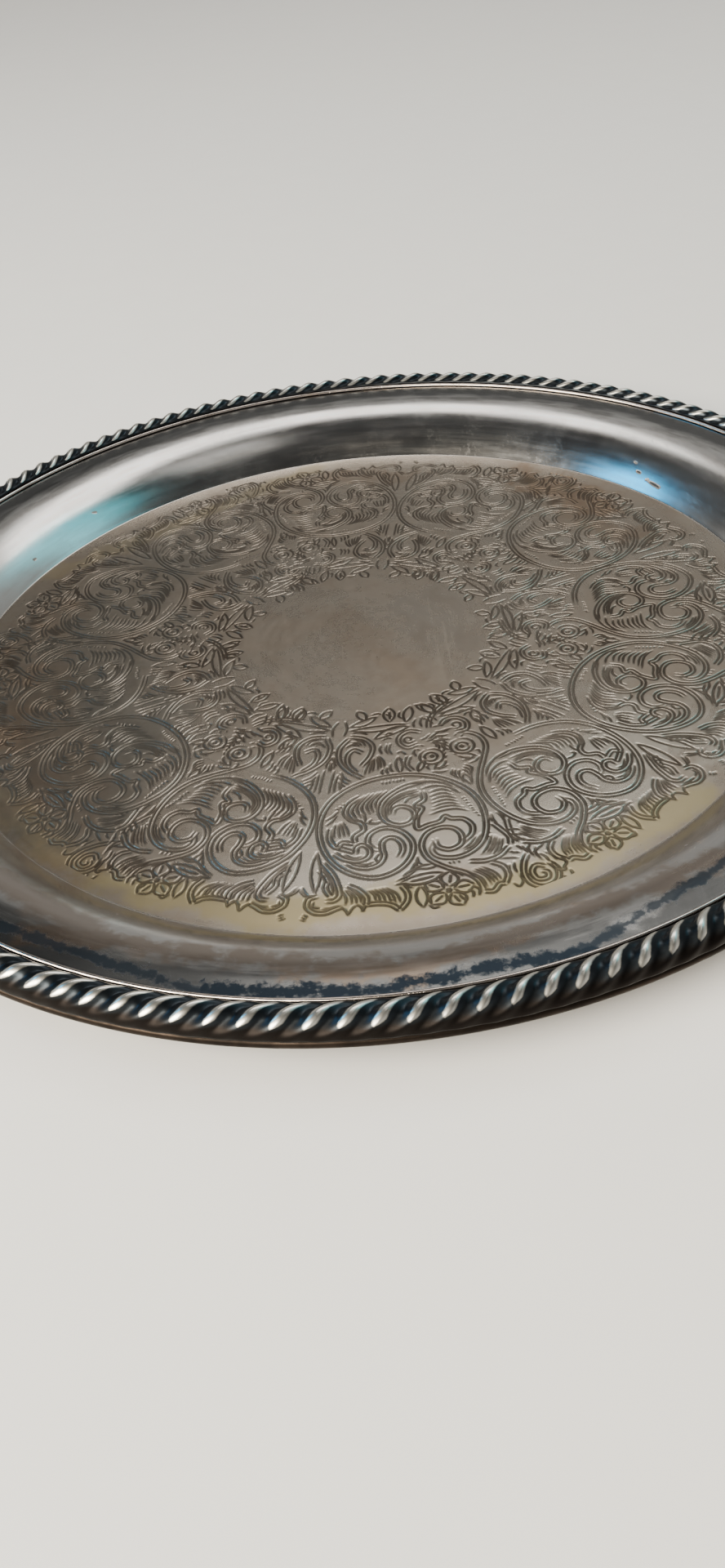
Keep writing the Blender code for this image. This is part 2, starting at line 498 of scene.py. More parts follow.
@dataclass
class Coat:
    """A metal material in the making, with its board, its shader and the place on the salver.

    Args:
        name: The material's name.
        shelf: The shared groups.
    """

    name: str
    shelf: EffectShelf
    material: bpy.types.Material = field(init=False)
    board: NodeBoard = field(init=False)
    shader: bpy.types.Node = field(init=False)
    place: bpy.types.NodeSocket = field(init=False)

    def __post_init__(self) -> None:
        """Start the material as plain metal."""
        self.material = bpy.data.materials.new(self.name)
        self.material.use_nodes = True
        self.board = NodeBoard(self.material.node_tree)
        self.shader = self.material.node_tree.nodes["Principled BSDF"]
        self.shader.inputs["Metallic"].default_value = 1.0
        self.place = self.board.add("TexCoord").outputs["Object"]

    def effect(self, group: str, **values: object) -> bpy.types.Node:
        """Put a shared group on the coat.

        Args:
            group: The group's short name.
            **values: Its inputs by name. It lies at the salver's own place unless it runs round the rim.

        Returns:
            The group node.
        """
        if "Round" not in values:
            values["Place"] = self.place
        return self.shelf.place(self.board, group, **values)

    def clouds(self, scale: float, cover: float) -> bpy.types.NodeSocket:
        """Return a mask of tarnish clouds."""
        return self.effect("clouds", Scale=scale, Cover=cover).outputs["Mask"]

    def hollow(self) -> bpy.types.NodeSocket:
        """Return the hollow mask: how deep in a groove the surface lies, and on the lobes their tarnish with
        painted shade.
        """
        return self.board.add("Attribute", attribute_name="hollow").outputs["Fac"]

    def marks(self, marks: tuple[Mark, ...]) -> bpy.types.NodeSocket:
        """Return one mask that shows each of the marks."""
        masks = [mark.mask(self.board, self.shelf, self.place) for mark in marks]
        return masks[0] if len(masks) == 1 else self.board.most(*masks)

    def finish(self, colour: bpy.types.NodeSocket, rough: bpy.types.NodeSocket, height: bpy.types.NodeSocket,
               strength: float, distance: float) -> bpy.types.Material:
        """Wire the coat's colour, roughness and relief to its shader.

        Args:
            colour: Its colour.
            rough: Its roughness.
            height: The height of its fine relief.
            strength: How strongly the relief shows.
            distance: The relief's depth, in metres.

        Returns:
            The finished material.
        """
        self.board.wire(colour, self.shader.inputs["Base Color"])
        self.board.wire(rough, self.shader.inputs["Roughness"])
        bump = self.board.add("Bump")
        bump.inputs["Strength"].default_value = strength
        bump.inputs["Distance"].default_value = distance
        self.board.wire(height, bump.inputs["Height"])
        self.board.wire(bump.outputs[0], self.shader.inputs["Normal"])
        return self.material


@dataclass(frozen=True)
class SheetFinish:
    """Dull plated sheet of the dish: taupe silver with stains, grooves gone dark, a yellow margin, painted
    sheen on the front of the floor and painted shade on its left side.

    Args:
        name: The material's name.
        silver: Colour of the plain plate.
        wall: Colour of the cleaner plate on the wall.
        warm: Colour where a thin yellow tarnish lies.
        brown: Colour of the brown stains, also used as painted shade on the left side of the floor.
        groove: Colour in the bottom of the engraving.
        flange: Colour of the dull film on the flange.
        blue: Colour of the deep blue-black tarnish by the bead.
        painted_sheen: Colour of the painted sheen that brightens the front of the floor.
        painted_side_shade: Colour of the painted shade that darkens the left side of the floor.
        pit: Colour in the pits.
        floor_edge: Radii in metres over which the wall's look gives way to the floor's.
        darkening_edge: Radii in metres over which the film on the flange sets in.
        gold_marks: Where the yellow tarnish lies on the floor's margin.
        brown_marks: Where the brown stains lie; the wide ones on the left of the floor are also painted
            shade.
        blue_marks: Where the blue-black tarnish lies.
        painted_sheen_marks: Where the painted sheen lies on the front of the floor.
        painted_side_shade_marks: Where the painted shade lies on the left side of the floor.
        clean_marks: Where the flange is free of its film.
        pit_marks: Where the plate is pitted.
    """

    name: str = "Tarnished Plate"
    silver: Colour = (0.478, 0.417, 0.347)
    wall: Colour = (0.66, 0.645, 0.625)
    warm: Colour = (0.46, 0.375, 0.215)
    brown: Colour = (0.30, 0.205, 0.135)
    groove: Colour = (0.045, 0.033, 0.024)
    flange: Colour = (0.15, 0.15, 0.147)
    blue: Colour = (0.03, 0.04, 0.053)
    painted_sheen: Colour = (0.66, 0.60, 0.505)
    painted_side_shade: Colour = (0.125, 0.117, 0.100)
    pit: Colour = (0.02, 0.018, 0.015)
    floor_edge: Point = (0.1445, 0.1425)
    darkening_edge: Point = (0.1645, 0.1735)
    gold_marks: tuple[Mark, ...] = (
        Mark((206.0, 139.0), (232.0, 139.0), 1.2, 9.0, 0.7, 60.0, 0.85),
        Mark((232.0, 138.0), (258.0, 138.0), 1.2, 8.5, 0.7, 60.0, 0.95),
        Mark((256.0, 137.0), (286.0, 137.0), 1.2, 8.5, 0.8, 60.0, 0.95),
        Mark((286.0, 136.0), (312.0, 138.0), 1.2, 8.5, 0.8, 60.0, 0.85),
        Mark((96.0, 139.0), (148.0, 139.0), 1.2, 7.0, 0.8, 60.0, 0.45),
    )
    brown_marks: tuple[Mark, ...] = (
        Mark((38.0, 126.0), (54.0, 130.0), 1.2, 15.0, 0.9, 90.0, 0.8),
        Mark((26.0, 118.0), (40.0, 112.0), 1.2, 12.0, 0.9, 90.0, 0.5),
        Mark((78.0, 124.0), (92.0, 128.0), 1.2, 9.0, 0.9, 110.0, 0.4),
        # The two wide marks on the left of the floor are brown stains that also darken that side as painted
        # shade.
        Mark((160.0, 120.0), (176.0, 132.0), 1.2, 14.0, 0.9, 90.0, 0.5),
        Mark((180.0, 118.0), (214.0, 124.0), 1.2, 26.0, 0.8, 50.0, 0.68),
        Mark((120.0, 18.0), (300.0, 24.0), 1.2, 12.0, 0.9, 60.0, 0.3),
        Mark((206.0, 136.0), (230.0, 139.0), 1.2, 12.0, 0.9, 60.0, 0.45),
        Mark((214.0, 164.0), (240.0, 162.0), 15.0, 9.0, 0.8, 90.0, 0.55),
        Mark((236.0, 172.0), (270.0, 172.0), 16.2, 6.5, 0.9, 120.0, 0.62),
        Mark((270.0, 172.0), (306.0, 172.0), 16.2, 6.5, 0.9, 120.0, 0.62),
    )
    blue_marks: tuple[Mark, ...] = (
        Mark((254.0, 177.4), (266.0, 177.2), 16.8, 3.6, 1.0, 330.0, 1.0),
        Mark((266.0, 178.2), (285.0, 177.6), 16.8, 3.2, 1.0, 330.0, 1.0),
        Mark((226.0, 178.4), (254.0, 178.4), 16.8, 2.8, 0.9, 260.0, 0.9),
        Mark((284.0, 178.2), (318.0, 178.4), 16.8, 2.8, 0.9, 260.0, 0.9),
    )
    # Painted sheen on the front of the floor.
    painted_sheen_marks: tuple[Mark, ...] = (
        Mark((262.0, 112.0), (290.0, 114.0), 1.2, 26.0, 0.95, 60.0, 0.5),
        Mark((290.0, 114.0), (320.0, 112.0), 1.2, 26.0, 0.95, 60.0, 0.6),
    )
    # Painted shade on the left side of the floor.
    painted_side_shade_marks: tuple[Mark, ...] = (
        Mark((140.0, 100.0), (172.0, 108.0), 1.2, 38.0, 0.95, 40.0, 0.45),
        Mark((172.0, 108.0), (214.0, 112.0), 1.2, 40.0, 0.95, 40.0, 0.6),
    )
    clean_marks: tuple[Mark, ...] = (Mark((290.0, 168.0), (318.0, 166.0), 16.0, 9.0, 0.7, 90.0, 0.75),)
    pit_marks: tuple[Mark, ...] = (
        Mark((35.2, 147.9), (32.4, 146.7), 4.8, 0.95, 0.45, 700.0, 1.0),
        Mark((37.5, 149.0), (36.9, 148.6), 6.4, 0.8, 0.4, 700.0, 1.0),
        Mark((38.8, 151.5), (38.4, 151.2), 8.5, 0.55, 0.4, 700.0, 0.9),
        Mark((134.3, 151.0), (133.8, 150.4), 8.1, 0.65, 0.5, 700.0, 0.8),
        Mark((148.5, 148.6), (148.1, 148.4), 6.1, 0.6, 0.5, 700.0, 0.8),
    )

    def build(self, shelf: EffectShelf) -> bpy.types.Material:
        """Build the material.

        Args:
            shelf: The shared groups.

        Returns:
            The material of the dish and its engraved floor.
        """
        coat = Coat(self.name, shelf)
        board = coat.board
        around, radius = coat.effect("polar").outputs
        on_floor = board.ramp(radius, *self.floor_edge)
        hollow = coat.hollow()
        clouds = coat.clouds(17.0, 0.5)
        blotches = coat.clouds(75.0, 0.42)
        streaks = coat.effect("streaks", Round=around, Around=7.0, Across=240.0).outputs["Mask"]
        rings = coat.effect("streaks", Round=around, Around=5.0, Across=420.0).outputs["Mask"]
        lines = coat.effect("scratches", Scale=46.0, Amount=0.8)
        on_wall = board.minus(1.0, on_floor)
        colour = board.blend(board.times(clouds, 0.32), self.silver, self.brown)
        colour = board.blend(board.times(blotches, 0.2), colour, self.brown)
        colour = board.blend(board.times(on_wall, 0.9), colour, self.wall)
        # Painted sheen: a brighter patch on the front of the floor.
        bright = coat.marks(self.painted_sheen_marks)
        colour = board.blend(bright, colour, self.painted_sheen)
        gold = board.times(coat.marks(self.gold_marks), on_floor)
        colour = board.blend(gold, colour, self.warm)
        colour = board.blend(board.times(streaks, 0.16, on_wall), colour, self.brown)
        film = board.ramp(board.plus(radius, board.spread(streaks, -0.002, 0.002)), *self.darkening_edge)
        clean = coat.marks(self.clean_marks)
        film = board.times(film, board.spread(clean, 0.9, 0.0))
        colour = board.blend(film, colour, self.flange)
        # Brown stains, with painted shade on the left side of the floor.
        stain_and_shade = coat.marks(self.brown_marks)
        colour = board.blend(stain_and_shade, colour, self.brown)
        blue = coat.marks(self.blue_marks)
        colour = board.blend(blue, colour, self.blue)
        cut = board.ramp(hollow, 0.08, 0.60)
        # Grooves darken with the tarnish clouds, and more inside the painted sheen patch for stronger
        # contrast there.
        grime_and_sheen_contrast = board.most(board.spread(clouds, 0.66, 0.9), board.spread(bright, 0.0, 1.5))
        colour = board.blend(board.times(cut, grime_and_sheen_contrast, clamp=True), colour, self.groove)
        # Painted shade: the left side of the floor is darkened, and made a little rougher.
        painted_side_shade_mask = coat.marks(self.painted_side_shade_marks)
        colour = board.blend(board.times(painted_side_shade_mask, on_floor), colour, self.painted_side_shade)
        pits = coat.marks(self.pit_marks)
        colour = board.blend(pits, colour, self.pit)
        rough = board.plus(board.spread(clouds, 0.235, 0.30), board.times(rings, 0.04),
                           board.times(board.most(cut, painted_side_shade_mask), 0.13),
                           board.times(lines.outputs["Mask"], 0.05),
                           board.times(board.plus(stain_and_shade, gold), 0.06))
        rough = board.minus(rough, board.times(on_wall, 0.09))
        rough = board.plus(rough, board.times(board.most(pits, blue), 0.2), clamp=True)
        board.wire(board.minus(1.0, board.times(pits, 0.8)), coat.shader.inputs["Metallic"])
        ripple = board.times(board.noise(coat.place, 190.0, 3.0, 0.6), board.spread(on_floor, 0.012, 0.06))
        marred = board.times(lines.outputs["Height"], board.spread(on_floor, 0.01, 0.03))
        height = board.minus(board.plus(ripple, marred), board.times(pits, 1.5))
        return coat.finish(colour, rough, height, 0.35, 0.00022)


@dataclass(frozen=True)
class LobeFinish:
    """Polished plate of the gadroon lobes, with blue-black tarnish in the hollows, painted shade low down
    and crests kept bright as painted highlight.

    Args:
        name: The material's name.
        silver: Colour of the polished crests, kept bright over a stretch set as painted highlight.
        hollow: Colour in the hollows.
        brown: Colour of the painted shade and dark reflection low on the lobes.
        dark_edge: Values of the hollow mask over which the tarnish and painted shade set in, as shares.
        darkening_edge: Heights in metres over which the painted shade low on the lobes sets in.
    """

    name: str = "Gadroon Plate"
    silver: Colour = (0.93, 0.885, 0.79)
    hollow: Colour = (0.033, 0.039, 0.045)
    brown: Colour = (0.012, 0.010, 0.009)
    dark_edge: Point = (0.30, 0.56)
    darkening_edge: Point = (0.0193, 0.0172)

    def build(self, shelf: EffectShelf) -> bpy.types.Material:
        """Build the material.

        Args:
            shelf: The shared groups.

        Returns:
            The material of the gadroon strips.
        """
        coat = Coat(self.name, shelf)
        board = coat.board
        hollow = coat.hollow()
        clouds = coat.clouds(60.0, 0.5)
        specks = coat.clouds(420.0, 0.35)
        lines = coat.effect("scratches", Scale=110.0, Amount=0.5)
        # The hollow mask: tarnish in the hollows and painted shade on the flanks, clear only on the crests'
        # painted highlight stretch.
        depth = board.plus(hollow, board.spread(clouds, -0.07, 0.07))
        dark = board.ramp(depth, *self.dark_edge)
        # Painted shade and dark reflection: the lobes are darkened low down, towards their outer edge.
        low = board.ramp(board.split(coat.place)[2], *self.darkening_edge)
        tarnish = board.blend(low, self.hollow, self.brown)
        colour = board.blend(board.times(specks, 0.15), self.silver, self.brown)
        colour = board.blend(board.most(dark, board.times(low, 0.98)), colour, tarnish)
        rough = board.plus(board.spread(dark, 0.28, 0.33), board.times(specks, 0.06), board.times(low, 0.12),
                           clamp=True)
        grain = board.times(board.noise(coat.place, 700.0, 3.0), 0.2)
        height = board.plus(grain, board.times(lines.outputs["Height"], 0.25))
        return coat.finish(colour, rough, height, 0.25, 0.0001)


@dataclass(frozen=True)
class WireFinish:
    """Plate on the plain wires and dull metal of the solder.

    Args:
        name: The material's name.
        clean: Colour where it is polished clean; the edge wire's is near-black painted shade.
        dull: Colour of its tarnish.
        cover: Share of it that is tarnished.
        roughness: Roughness of the clean and of the tarnished metal.
    """

    name: str
    clean: Colour
    dull: Colour
    cover: float
    roughness: Point

    def build(self, shelf: EffectShelf) -> bpy.types.Material:
        """Build the material.

        Args:
            shelf: The shared groups.

        Returns:
            The material of a wire or of the solder.
        """
        coat = Coat(self.name, shelf)
        board = coat.board
        clouds = coat.clouds(55.0, self.cover)
        specks = coat.clouds(500.0, 0.3)
        lines = coat.effect("scratches", Scale=150.0, Amount=0.6)
        tarnish = board.most(clouds, board.times(specks, 0.4))
        colour = board.blend(tarnish, self.clean, self.dull)
        rough = board.spread(tarnish, *self.roughness)
        return coat.finish(colour, rough, lines.outputs["Height"], 0.3, 0.0001)


BEAD_FINISH = WireFinish("Bead Plate", (0.70, 0.61, 0.55), (0.34, 0.28, 0.24), 0.35, (0.18, 0.34))
# The edge wire's near-black colours are painted shade and dark reflection under the rim, over clouds of
# tarnish.
SHADED_EDGE_FINISH = WireFinish("Edge Plate", (0.030, 0.022, 0.017), (0.014, 0.011, 0.009), 0.6, (0.35, 0.5))
SOLDER_FINISH = WireFinish("Tin Solder", (0.36, 0.36, 0.37), (0.16, 0.16, 0.16), 0.5, (0.5, 0.7))


# ---------------------------------------------------------------------------------------------
# Mesh making
# ---------------------------------------------------------------------------------------------


def arc(centre: Point, half: Point, start: float, end: float, steps: int) -> Profile:
    """Return steps + 1 points (radius, height) of an ellipse's arc."""
    turns = [start + (end - start) * step / steps for step in range(steps + 1)]
    return [(centre[0] + half[0] * cos(turn), centre[1] + half[1] * sin(turn)) for turn in turns]


def bezier(corners: tuple[Point, ...], steps: int) -> Profile:
    """Lay out a cubic Bezier curve.

    Args:
        corners: Its start, its two handles and its end, as radius and height.
        steps: Number of steps along it.

    Returns:
        Its points, one more than its steps.
    """
    t = np.linspace(0.0, 1.0, steps + 1)[:, None]
    p0, p1, p2, p3 = (np.array(corner) for corner in corners)
    curve = p0 * (1 - t) ** 3 + p1 * 3 * t * (1 - t) ** 2 + p2 * 3 * t * t * (1 - t) + p3 * t ** 3
    return [tuple(point) for point in curve]


def offset_below(points: Profile, distance: float) -> Profile:
    """Work out the underside of a sheet of even thickness.

    Args:
        points: Profile of its upper side.
        distance: Its thickness.

    Returns:
        Profile of its underside, with as many points.
    """
    corners = np.array(points)
    runs = np.diff(corners, axis=0)
    runs /= np.linalg.norm(runs, axis=1)[:, None]
    normals = np.stack([runs[:, 1], -runs[:, 0]], 1)
    before = np.vstack([normals[:1], normals])
    after = np.vstack([normals, normals[-1:]])
    middle = before + after
    middle /= np.linalg.norm(middle, axis=1)[:, None]
    moved = corners + middle * (distance / (middle * before).sum(1))[:, None]
    return [tuple(point) for point in moved]


def grid_mesh(name: str, points: np.ndarray, ring: bool = False, tube: bool = False) -> bpy.types.Mesh:
    """Join a grid of points into a mesh of quads.

    Args:
        name: The mesh's name.
        points: Points as rows by columns by XYZ, in millimetres. Rows run down the outer side.
        ring: Whether the last column joins the first.
        tube: Whether the last row joins the first.

    Returns:
        The mesh, shaded smooth, with its faces outward.
    """
    rows, columns = points.shape[:2]
    down = np.arange(rows if tube else rows - 1)
    along = np.arange(columns if ring else columns - 1)
    row, column = np.meshgrid(down, along, indexing="ij")
    after_row = (row + 1) % rows
    after_column = (column + 1) % columns
    corners = (row * columns + column, after_row * columns + column, after_row * columns + after_column,
               row * columns + after_column)
    faces = np.stack(corners, -1).reshape(-1, 4)
    mesh = bpy.data.meshes.new(name)
    mesh.vertices.add(rows * columns)
    mesh.vertices.foreach_set("co", (points * MM).astype(np.float32).ravel())
    mesh.loops.add(faces.size)
    mesh.loops.foreach_set("vertex_index", faces.astype(np.int32).ravel())
    mesh.polygons.add(len(faces))
    mesh.polygons.foreach_set("loop_start", np.arange(0, faces.size, 4, dtype=np.int32))
    mesh.polygons.foreach_set("loop_total", np.full(len(faces), 4, np.int32))
    mesh.update(calc_edges=True)
    mesh.shade_smooth()
    return mesh


def write_mask(mesh: bpy.types.Mesh, values: np.ndarray) -> None:
    """Store each point's hollow mask from 0 to 1: groove depth on the floor, tarnish with painted shade on
    the lobes.
    """
    layer = mesh.attributes.new("hollow", "FLOAT", "POINT")
    layer.data.foreach_set("value", values.astype(np.float32).ravel())


def turn(profile: Profile, steps: int) -> np.ndarray:
    """Turn a profile round Z.

    Args:
        profile: The profile.
        steps: Number of steps round Z.

    Returns:
        Its points as rows by columns by XYZ.
    """
    outline = np.array(profile)
    angles = np.linspace(0.0, 2 * pi, steps, endpoint=False)
    x = outline[:, :1] * np.cos(angles)
    y = outline[:, :1] * np.sin(angles)
    z = np.repeat(outline[:, 1:], steps, 1)
    return np.stack([x, y, z], -1)


def put_in_scene(name: str, data: bpy.types.ID) -> bpy.types.Object:
    """Make an object of a mesh, lamp or camera and link it to the scene.

    Args:
        name: The object's name.
        data: Its mesh, lamp or camera.

    Returns:
        The object.
    """
    made = bpy.data.objects.new(name, data)
    bpy.context.scene.collection.objects.link(made)
    return made


def place_piece(name: str, mesh: bpy.types.Mesh, material: bpy.types.Material, slot: Slot,
                *nodes: str) -> bpy.types.Object:
    """Put a piece in the scene on the salver's body.

    Args:
        name: The piece's name.
        mesh: Its mesh.
        material: Its finish.
        slot: The record's slot that the finish belongs to; not used.
        *nodes: The solids that it stands for.

    Returns:
        The piece.
    """
    piece = put_in_scene(name, mesh)
    mesh.materials.append(material)
    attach(piece, BODY)
    if nodes:
        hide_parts(*nodes)
    LOG.info("%s: %d faces", name, len(mesh.polygons))
    return piece


# ---------------------------------------------------------------------------------------------
# The dish
# ---------------------------------------------------------------------------------------------


@dataclass
class Dish:
    """The spun sheet: plain middle, margin, wall, flange and the apron that carries the border.

    The engraved band of the floor is let into a shallow step, as pieces of their own.
    """

    sheet: float = 1.2
    wall_foot: Point = (144.6, 2.3)
    wall_slope: float = radians(46.0)
    wall_handle: float = 12.0
    flange_start: Point = (173.0, 16.7)
    flange_slope: float = radians(1.5)
    flange_height: float = 16.9
    flange_end: float = 179.0
    flange_dip: float = 0.03
    rim_centre: Point = (185.2, 14.7)
    apron_half: Point = (2.1, 2.2)
    apron_drop: float = 1.1
    corner_radius: float = 0.9
    band_inner: float = 40.0
    band_outer: float = 138.6
    band_step: float = 0.3
    centre_hole: float = 0.02
    corner_steps: int = 6
    wall_steps: int = 48
    apron_steps: int = 12
    steps: int = 540
    sharp_angle: float = radians(60.0)

    def wall(self) -> Profile:
        """Lay out the wall.

        Returns:
            Its upper profile, from the floor's rounded corner to the flange.
        """
        rise = (cos(self.wall_slope), sin(self.wall_slope))
        level = (cos(self.flange_slope), sin(self.flange_slope))
        foot_handle = tuple(at + self.wall_handle * run for at, run in zip(self.wall_foot, rise))
        top_handle = tuple(at - self.wall_handle * run for at, run in zip(self.flange_start, level))
        return bezier((self.wall_foot, foot_handle, top_handle, self.flange_start), self.wall_steps)

    def corner(self) -> Profile:
        """Lay out the small rounded corner where the floor turns up into the wall.

        Returns:
            Its upper profile.
        """
        reach = self.corner_radius * sin(self.wall_slope / 2) / cos(self.wall_slope / 2)
        rise = self.wall_foot[1] - self.sheet
        start = self.wall_foot[0] - rise * cos(self.wall_slope) / sin(self.wall_slope) - reach
        half = (self.corner_radius, self.corner_radius)
        centre = (start, self.sheet + self.corner_radius)
        return arc(centre, half, -pi / 2, self.wall_slope - pi / 2, self.corner_steps)

    def upper_side(self) -> Profile:
        """Lay out the sheet's upper side outside the floor.

        Returns:
            The profile, from the margin to the apron's lower edge.
        """
        apron = arc(self.rim_centre, self.apron_half, pi / 2, 0.0, self.apron_steps)
        edge = (apron[-1][0], apron[-1][1] - self.apron_drop)
        flange = (self.flange_end, self.flange_height - self.flange_dip)
        return [*self.corner(), *self.wall(), flange, *apron, edge]

    def outline(self) -> Profile:
        """Lay out the whole sheet, with the step that the engraved band lies in.

        Returns:
            The outline, from the middle of the upper side to the middle of the underside.
        """
        low = self.sheet - self.band_step
        floor = [(0.0, self.sheet), (self.band_inner * 0.5, self.sheet), (self.band_inner, self.sheet),
                 (self.band_inner, low), (self.band_outer, low), (self.band_outer, self.sheet)]
        top = self.upper_side()
        under = offset_below([(self.band_outer, self.sheet), *top], self.sheet)
        return [*floor, *top, *under[::-1], (self.band_inner, 0.0), (0.0, 0.0)]

    def build(self, material: bpy.types.Material) -> bpy.types.Object:
        """Make the dish.

        Args:
            material: The finish of the plated sheet.

        Returns:
            The dish without its engraved band.
        """
        outline = self.outline()
        for end in (0, -1):
            outline[end] = (self.centre_hole, outline[end][1])
        mesh = grid_mesh("dish_shell", turn(outline, self.steps), ring=True)
        write_mask(mesh, np.zeros(len(mesh.vertices)))
        mesh.set_sharp_from_angle(angle=self.sharp_angle)
        return place_piece("dish_shell", mesh, material, Slot.SHEET, "dish_body")


# ---------------------------------------------------------------------------------------------
# The engraving
# ---------------------------------------------------------------------------------------------

Curve = list[Point]


class Cut(Enum):
    """The gravers that the design is cut with."""

    BAND = "two close lines with a sunk ribbon between them"
    LINE = "one line of even width that thins at its ends"
    HATCH = "a short shading cut"
    TICK = "a dot-like nick"


@dataclass(frozen=True)
class Graver:
    """The width and depth of one kind of cut, in millimetres.

    Args:
        half_width: Half the width of one groove.
        depth: Depth of the groove at its middle.
        spacing: Distance between the two grooves of a band, or 0 for a single groove.
        taper: Share of the cut's length over which each end thins out.
    """

    half_width: float
    depth: float
    spacing: float
    taper: float


GRAVERS: dict[Cut, Graver] = {
    Cut.BAND: Graver(0.48, 0.22, 1.3, 0.06),
    Cut.LINE: Graver(0.52, 0.21, 0.0, 0.16),
    Cut.HATCH: Graver(0.50, 0.21, 0.0, 0.30),
    Cut.TICK: Graver(0.42, 0.17, 0.0, 0.45),
}


def spiral(centre: Point, radii: Point, turns: Point, points: int = 16) -> Curve:
    """Lay out an arc whose radius changes evenly, such as a volute or a ring.

    Args:
        centre: Middle of the spiral.
        radii: Radius at the start and at the end.
        turns: Angle at the start and at the end, in degrees anticlockwise from +X.
        points: Number of points along it.

    Returns:
        The points along the spiral.
    """
    curve = []
    for step in range(points):
        share = step / (points - 1)
        radius = radii[0] + (radii[1] - radii[0]) * share
        angle = radians(turns[0] + (turns[1] - turns[0]) * share)
        curve.append((centre[0] + radius * cos(angle), centre[1] + radius * sin(angle)))
    return curve


def between(first: Curve, last: Curve, count: int) -> list[Curve]:
    """Shade the space between two cuts with evenly spread ones.

    Args:
        first: The first cut.
        last: The last cut, with as many points as the first.
        count: Number of cuts, the first and the last among them.

    Returns:
        The cuts in order.
    """
    cuts = []
    for number in range(count):
        share = number / max(count - 1, 1)
        cuts.append([(a[0] + (b[0] - a[0]) * share, a[1] + (b[1] - a[1]) * share)
                     for a, b in zip(first, last)])
    return cuts


def leaf(root: Point, tip: Point, width: float, bend: float = 0.0) -> list[Curve]:
    """Outline a pointed leaf, with a vein where it is wide enough for one.

    Args:
        root: Where the leaf grows from.
        tip: Its pointed end.
        width: Its greatest width.
        bend: How far its middle stands aside, to the left of the way from root to tip.

    Returns:
        Its left side, its right side and its vein, if any.
    """
    run = (tip[0] - root[0], tip[1] - root[1])
    length = (run[0] ** 2 + run[1] ** 2) ** 0.5
    aside = (-run[1] / length, run[0] / length)
    sides = []
    strokes = [(width / 2, 0.0, 1.0), (-width / 2, 0.0, 1.0)]
    if width > 3.0:
        strokes.append((0.0, 0.22, 0.74))
    for half, start, end in strokes:
        curve = []
        for step in (0.0, 0.3, 0.65, 1.0):
            along = start + (end - start) * step
            off = (half + bend) * sin(pi * along) if 0.0 < along < 1.0 else 0.0
            curve.append((root[0] + run[0] * along + aside[0] * off,
                          root[1] + run[1] * along + aside[1] * off))
        sides.append(curve)
    return sides


def flower(centre: Point, radii: Point, count: int, start: float, width: float) -> list[Curve]:
    """Outline an open flower with pointed petals round a small eye.

    Args:
        centre: Middle of the flower.
        radii: Distance of the petals' roots and tips from the middle.
        count: Number of petals.
        start: Direction of the first petal, in degrees.
        width: Width of a petal.

    Returns:
        The petals' sides and veins, and the eye.
    """
    cuts = [spiral(centre, (radii[0] * 0.45, radii[0] * 0.35), (0.0, 360.0), 7)]
    for number in range(count):
        angle = radians(start + 360.0 / count * number)
        root, tip = ((centre[0] + r * cos(angle), centre[1] + r * sin(angle)) for r in radii)
        cuts.extend(leaf(root, tip, width))
    return cuts


